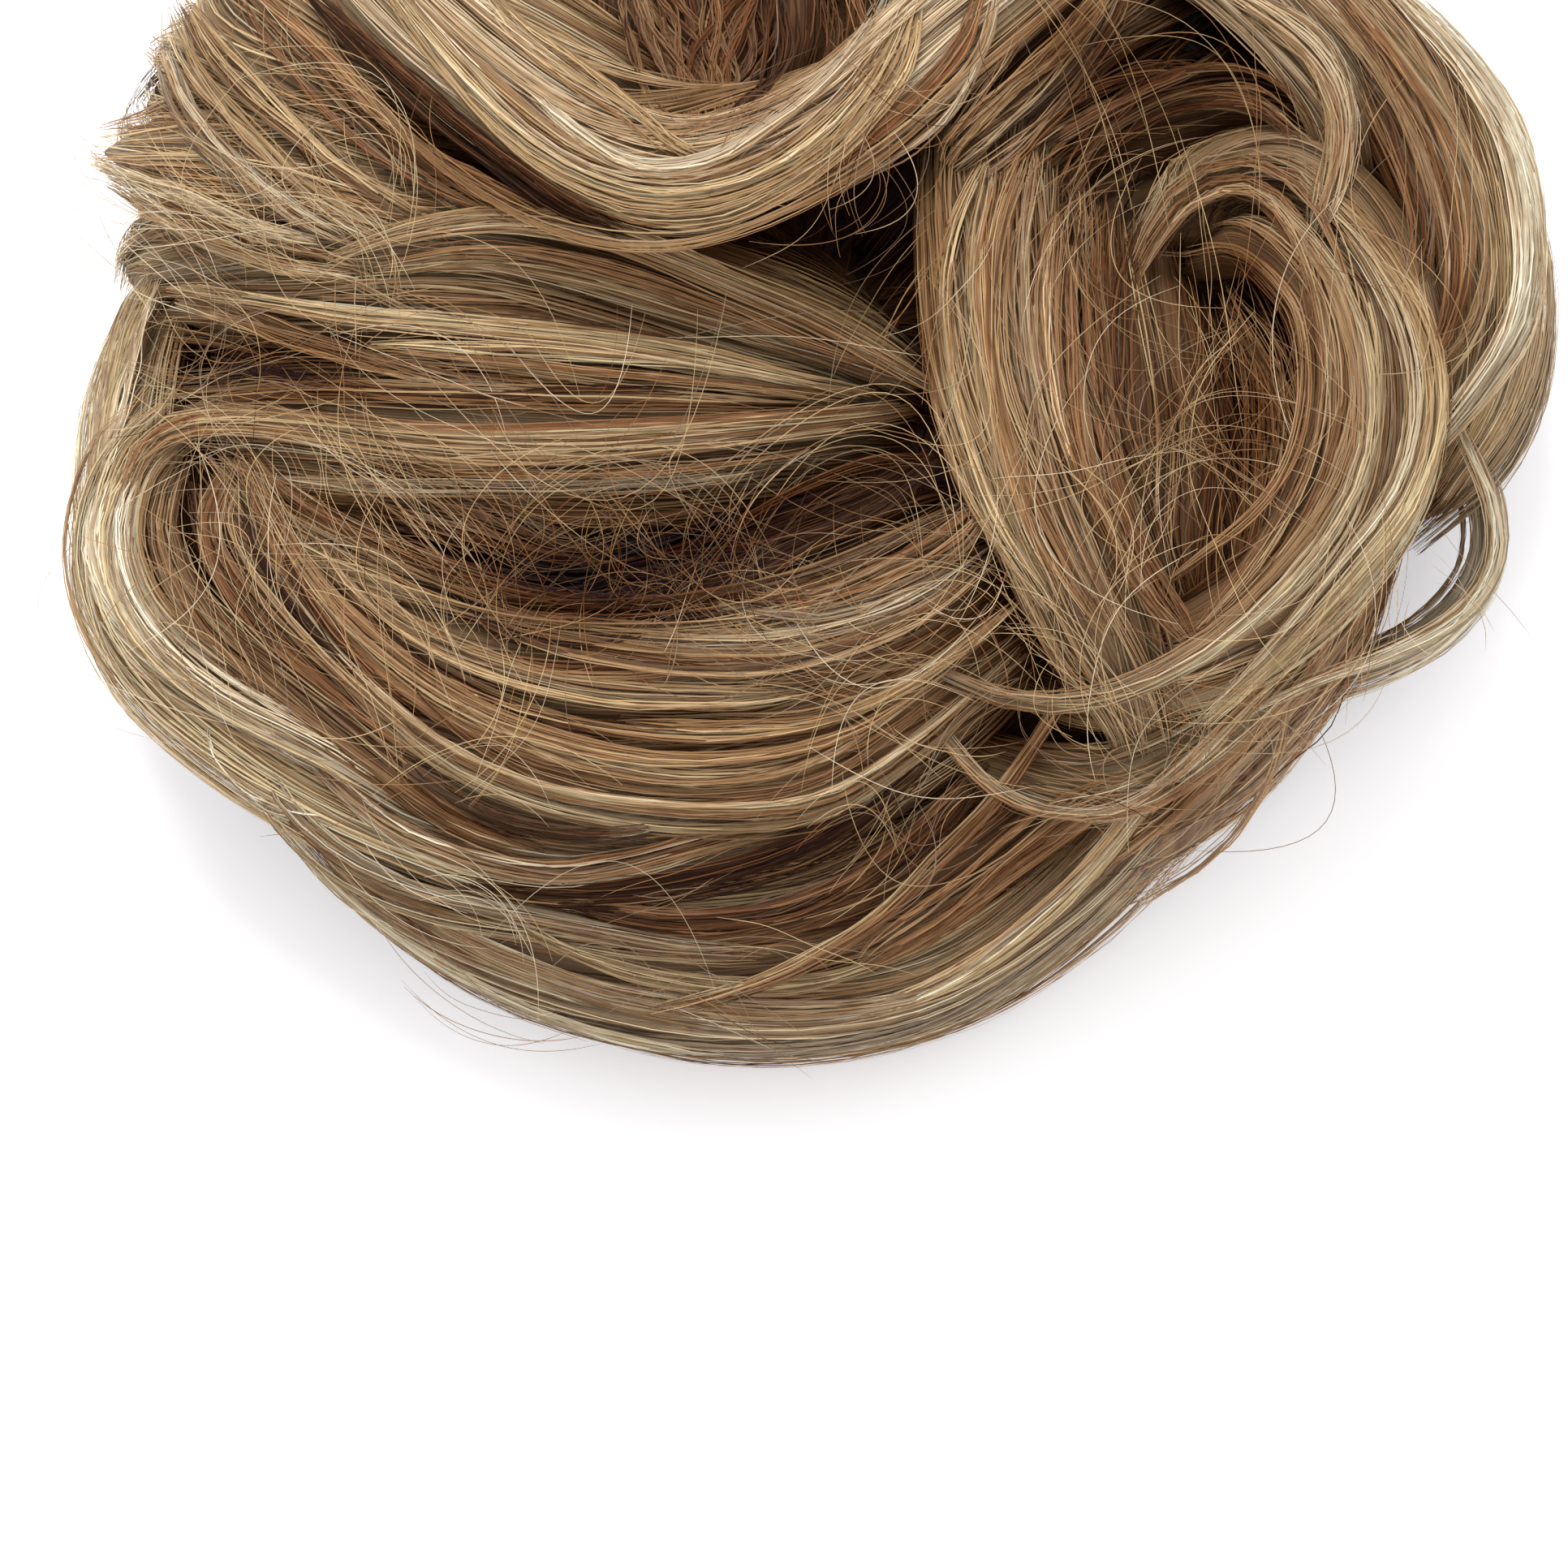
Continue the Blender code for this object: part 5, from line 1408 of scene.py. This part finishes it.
class TOPKNOT_OT_left(bpy.types.Operator):
    """Add the straight locks from the left, and the curl round the left rim"""
    bl_idname = "top_knot.left"
    bl_label = "Left bars and curl"

    def execute(self, context):
        build_groups("left_bars", "left_curl")
        return {"FINISHED"}


class TOPKNOT_OT_front(bpy.types.Operator):
    """Add the smile-shaped sweeps in front and the locks round the front rim"""
    bl_idname = "top_knot.front"
    bl_label = "Front sweeps and rim"

    def execute(self, context):
        build_groups("front_sweeps", "front_rim")
        return {"FINISHED"}


class TOPKNOT_OT_right(bpy.types.Operator):
    """Add the upright curl, the ring beside it, the outer curls and the loose side loop"""
    bl_idname = "top_knot.right"
    bl_label = "Right curls"

    def execute(self, context):
        build_groups("right_curl", "outer_right_curl", "side_loop")
        return {"FINISHED"}


class TOPKNOT_OT_back(bpy.types.Operator):
    """Add the plain locks round the back"""
    bl_idname = "top_knot.back"
    bl_label = "Back locks"

    def execute(self, context):
        build_groups("back_locks")
        return {"FINISHED"}


class TOPKNOT_OT_loose(bpy.types.Operator):
    """Add the thin strands on top of the locks and the single hairs that cross them"""
    bl_idname = "top_knot.loose"
    bl_label = "Loose hairs"

    def execute(self, context):
        relief = Relief()
        for node in dict.fromkeys(lock.group for lock in LOCKS):
            strand_group(node, relief)
            loose_hairs(node, relief)
        return {"FINISHED"}


class TOPKNOT_OT_stage(bpy.types.Operator):
    """Add the pale floor, the studio light and the camera"""
    bl_idname = "top_knot.stage"
    bl_label = "Stage"

    def execute(self, context):
        stage = context.scene.top_knot_stage
        build_floor()
        build_lights()
        build_camera(stage)
        return {"FINISHED"}


def build_floor():
    """A plain pale floor, which only belongs to the stage."""
    data = bpy.data.meshes.new("floor")
    data.from_pydata([(-3, -3, 0), (3, -3, 0), (3, 3, 0), (-3, 3, 0)], [], [(0, 1, 2, 3)])
    material, _, shader = node_graph("pale_floor")
    set_inputs(shader, {"Base Color": (0.90, 0.90, 0.92, 1), "Roughness": 0.7,
                        "Emission Color": (0.97, 0.96, 1.0, 1), "Emission Strength": 0.30})
    data.materials.append(material)
    floor = bpy.data.objects.new("floor", data)
    bpy.context.scene.collection.objects.link(floor)


def area_light(name, place, width, watts):
    """A round light that points at the knot."""
    light = bpy.data.lights.new(name, "AREA")
    light.shape = "DISK"
    light.size = width
    light.energy = watts
    obj = bpy.data.objects.new(name, light)
    obj.location = place
    obj.rotation_euler = (Vector((0, 0, 0.03)) - Vector(place)).to_track_quat("-Z", "Y").to_euler()
    bpy.context.scene.collection.objects.link(obj)


def build_lights():
    """Even light from all sides, and one soft light from above and behind."""
    scene = bpy.context.scene
    world = bpy.data.worlds.new("studio")
    scene.world = world
    world.use_nodes = True
    set_inputs(world.node_tree.nodes["Background"],
               {"Color": (1.0, 0.995, 0.985, 1), "Strength": 1.15})
    area_light("key", (-0.20, 0.45, 1.10), 0.60, 9)
    scene.view_settings.view_transform = "Standard"


def build_camera(stage):
    """The camera, which looks down on the knot's front."""
    scene = bpy.context.scene
    data = bpy.data.cameras.new("camera")
    data.sensor_width = 36
    data.lens = data.sensor_width * stage.distance / stage.view_width
    data.clip_start = 0.01
    camera = bpy.data.objects.new("camera", data)
    aim = Vector(AXIS) + Vector(stage.aim)
    back = Vector((0, -math.cos(stage.elevation), math.sin(stage.elevation)))
    camera.location = aim + back * stage.distance
    camera.rotation_euler = (math.pi / 2 - stage.elevation, 0, 0)
    scene.collection.objects.link(camera)
    scene.camera = camera


class TOPKNOT_PT_panel(bpy.types.Panel):
    """The steps that build the knot"""
    bl_label = "Top Knot"
    bl_idname = "TOPKNOT_PT_panel"
    bl_space_type = "VIEW_3D"
    bl_region_type = "UI"
    bl_category = "Top Knot"

    def draw(self, context):
        for operator in OPERATORS:
            self.layout.operator(operator.bl_idname)


OPERATORS = (
    TOPKNOT_OT_core, TOPKNOT_OT_elastic, TOPKNOT_OT_crown, TOPKNOT_OT_upper_left, TOPKNOT_OT_left,
    TOPKNOT_OT_front, TOPKNOT_OT_right, TOPKNOT_OT_back, TOPKNOT_OT_loose, TOPKNOT_OT_stage,
)
CLASSES = (KnotSizes, HairLook, StageLook, *OPERATORS, TOPKNOT_PT_panel)


def register():
    """Adds the classes and the scene's settings to Blender."""
    for cls in CLASSES:
        bpy.utils.register_class(cls)
    bpy.types.Scene.top_knot_sizes = PointerProperty(type=KnotSizes)
    bpy.types.Scene.top_knot_hair = PointerProperty(type=HairLook)
    bpy.types.Scene.top_knot_stage = PointerProperty(type=StageLook)


def unregister():
    """Takes them out again."""
    del bpy.types.Scene.top_knot_stage
    del bpy.types.Scene.top_knot_hair
    del bpy.types.Scene.top_knot_sizes
    for cls in reversed(CLASSES):
        bpy.utils.unregister_class(cls)


def main():
    """Builds the knot and its stage."""
    register()
    bpy.ops.top_knot.core()
    bpy.ops.top_knot.elastic()
    bpy.ops.top_knot.crown()
    bpy.ops.top_knot.upper_left()
    bpy.ops.top_knot.left()
    bpy.ops.top_knot.front()
    bpy.ops.top_knot.right()
    bpy.ops.top_knot.back()
    bpy.ops.top_knot.loose()
    bpy.ops.top_knot.stage()


if __name__ == "__main__":
    main()
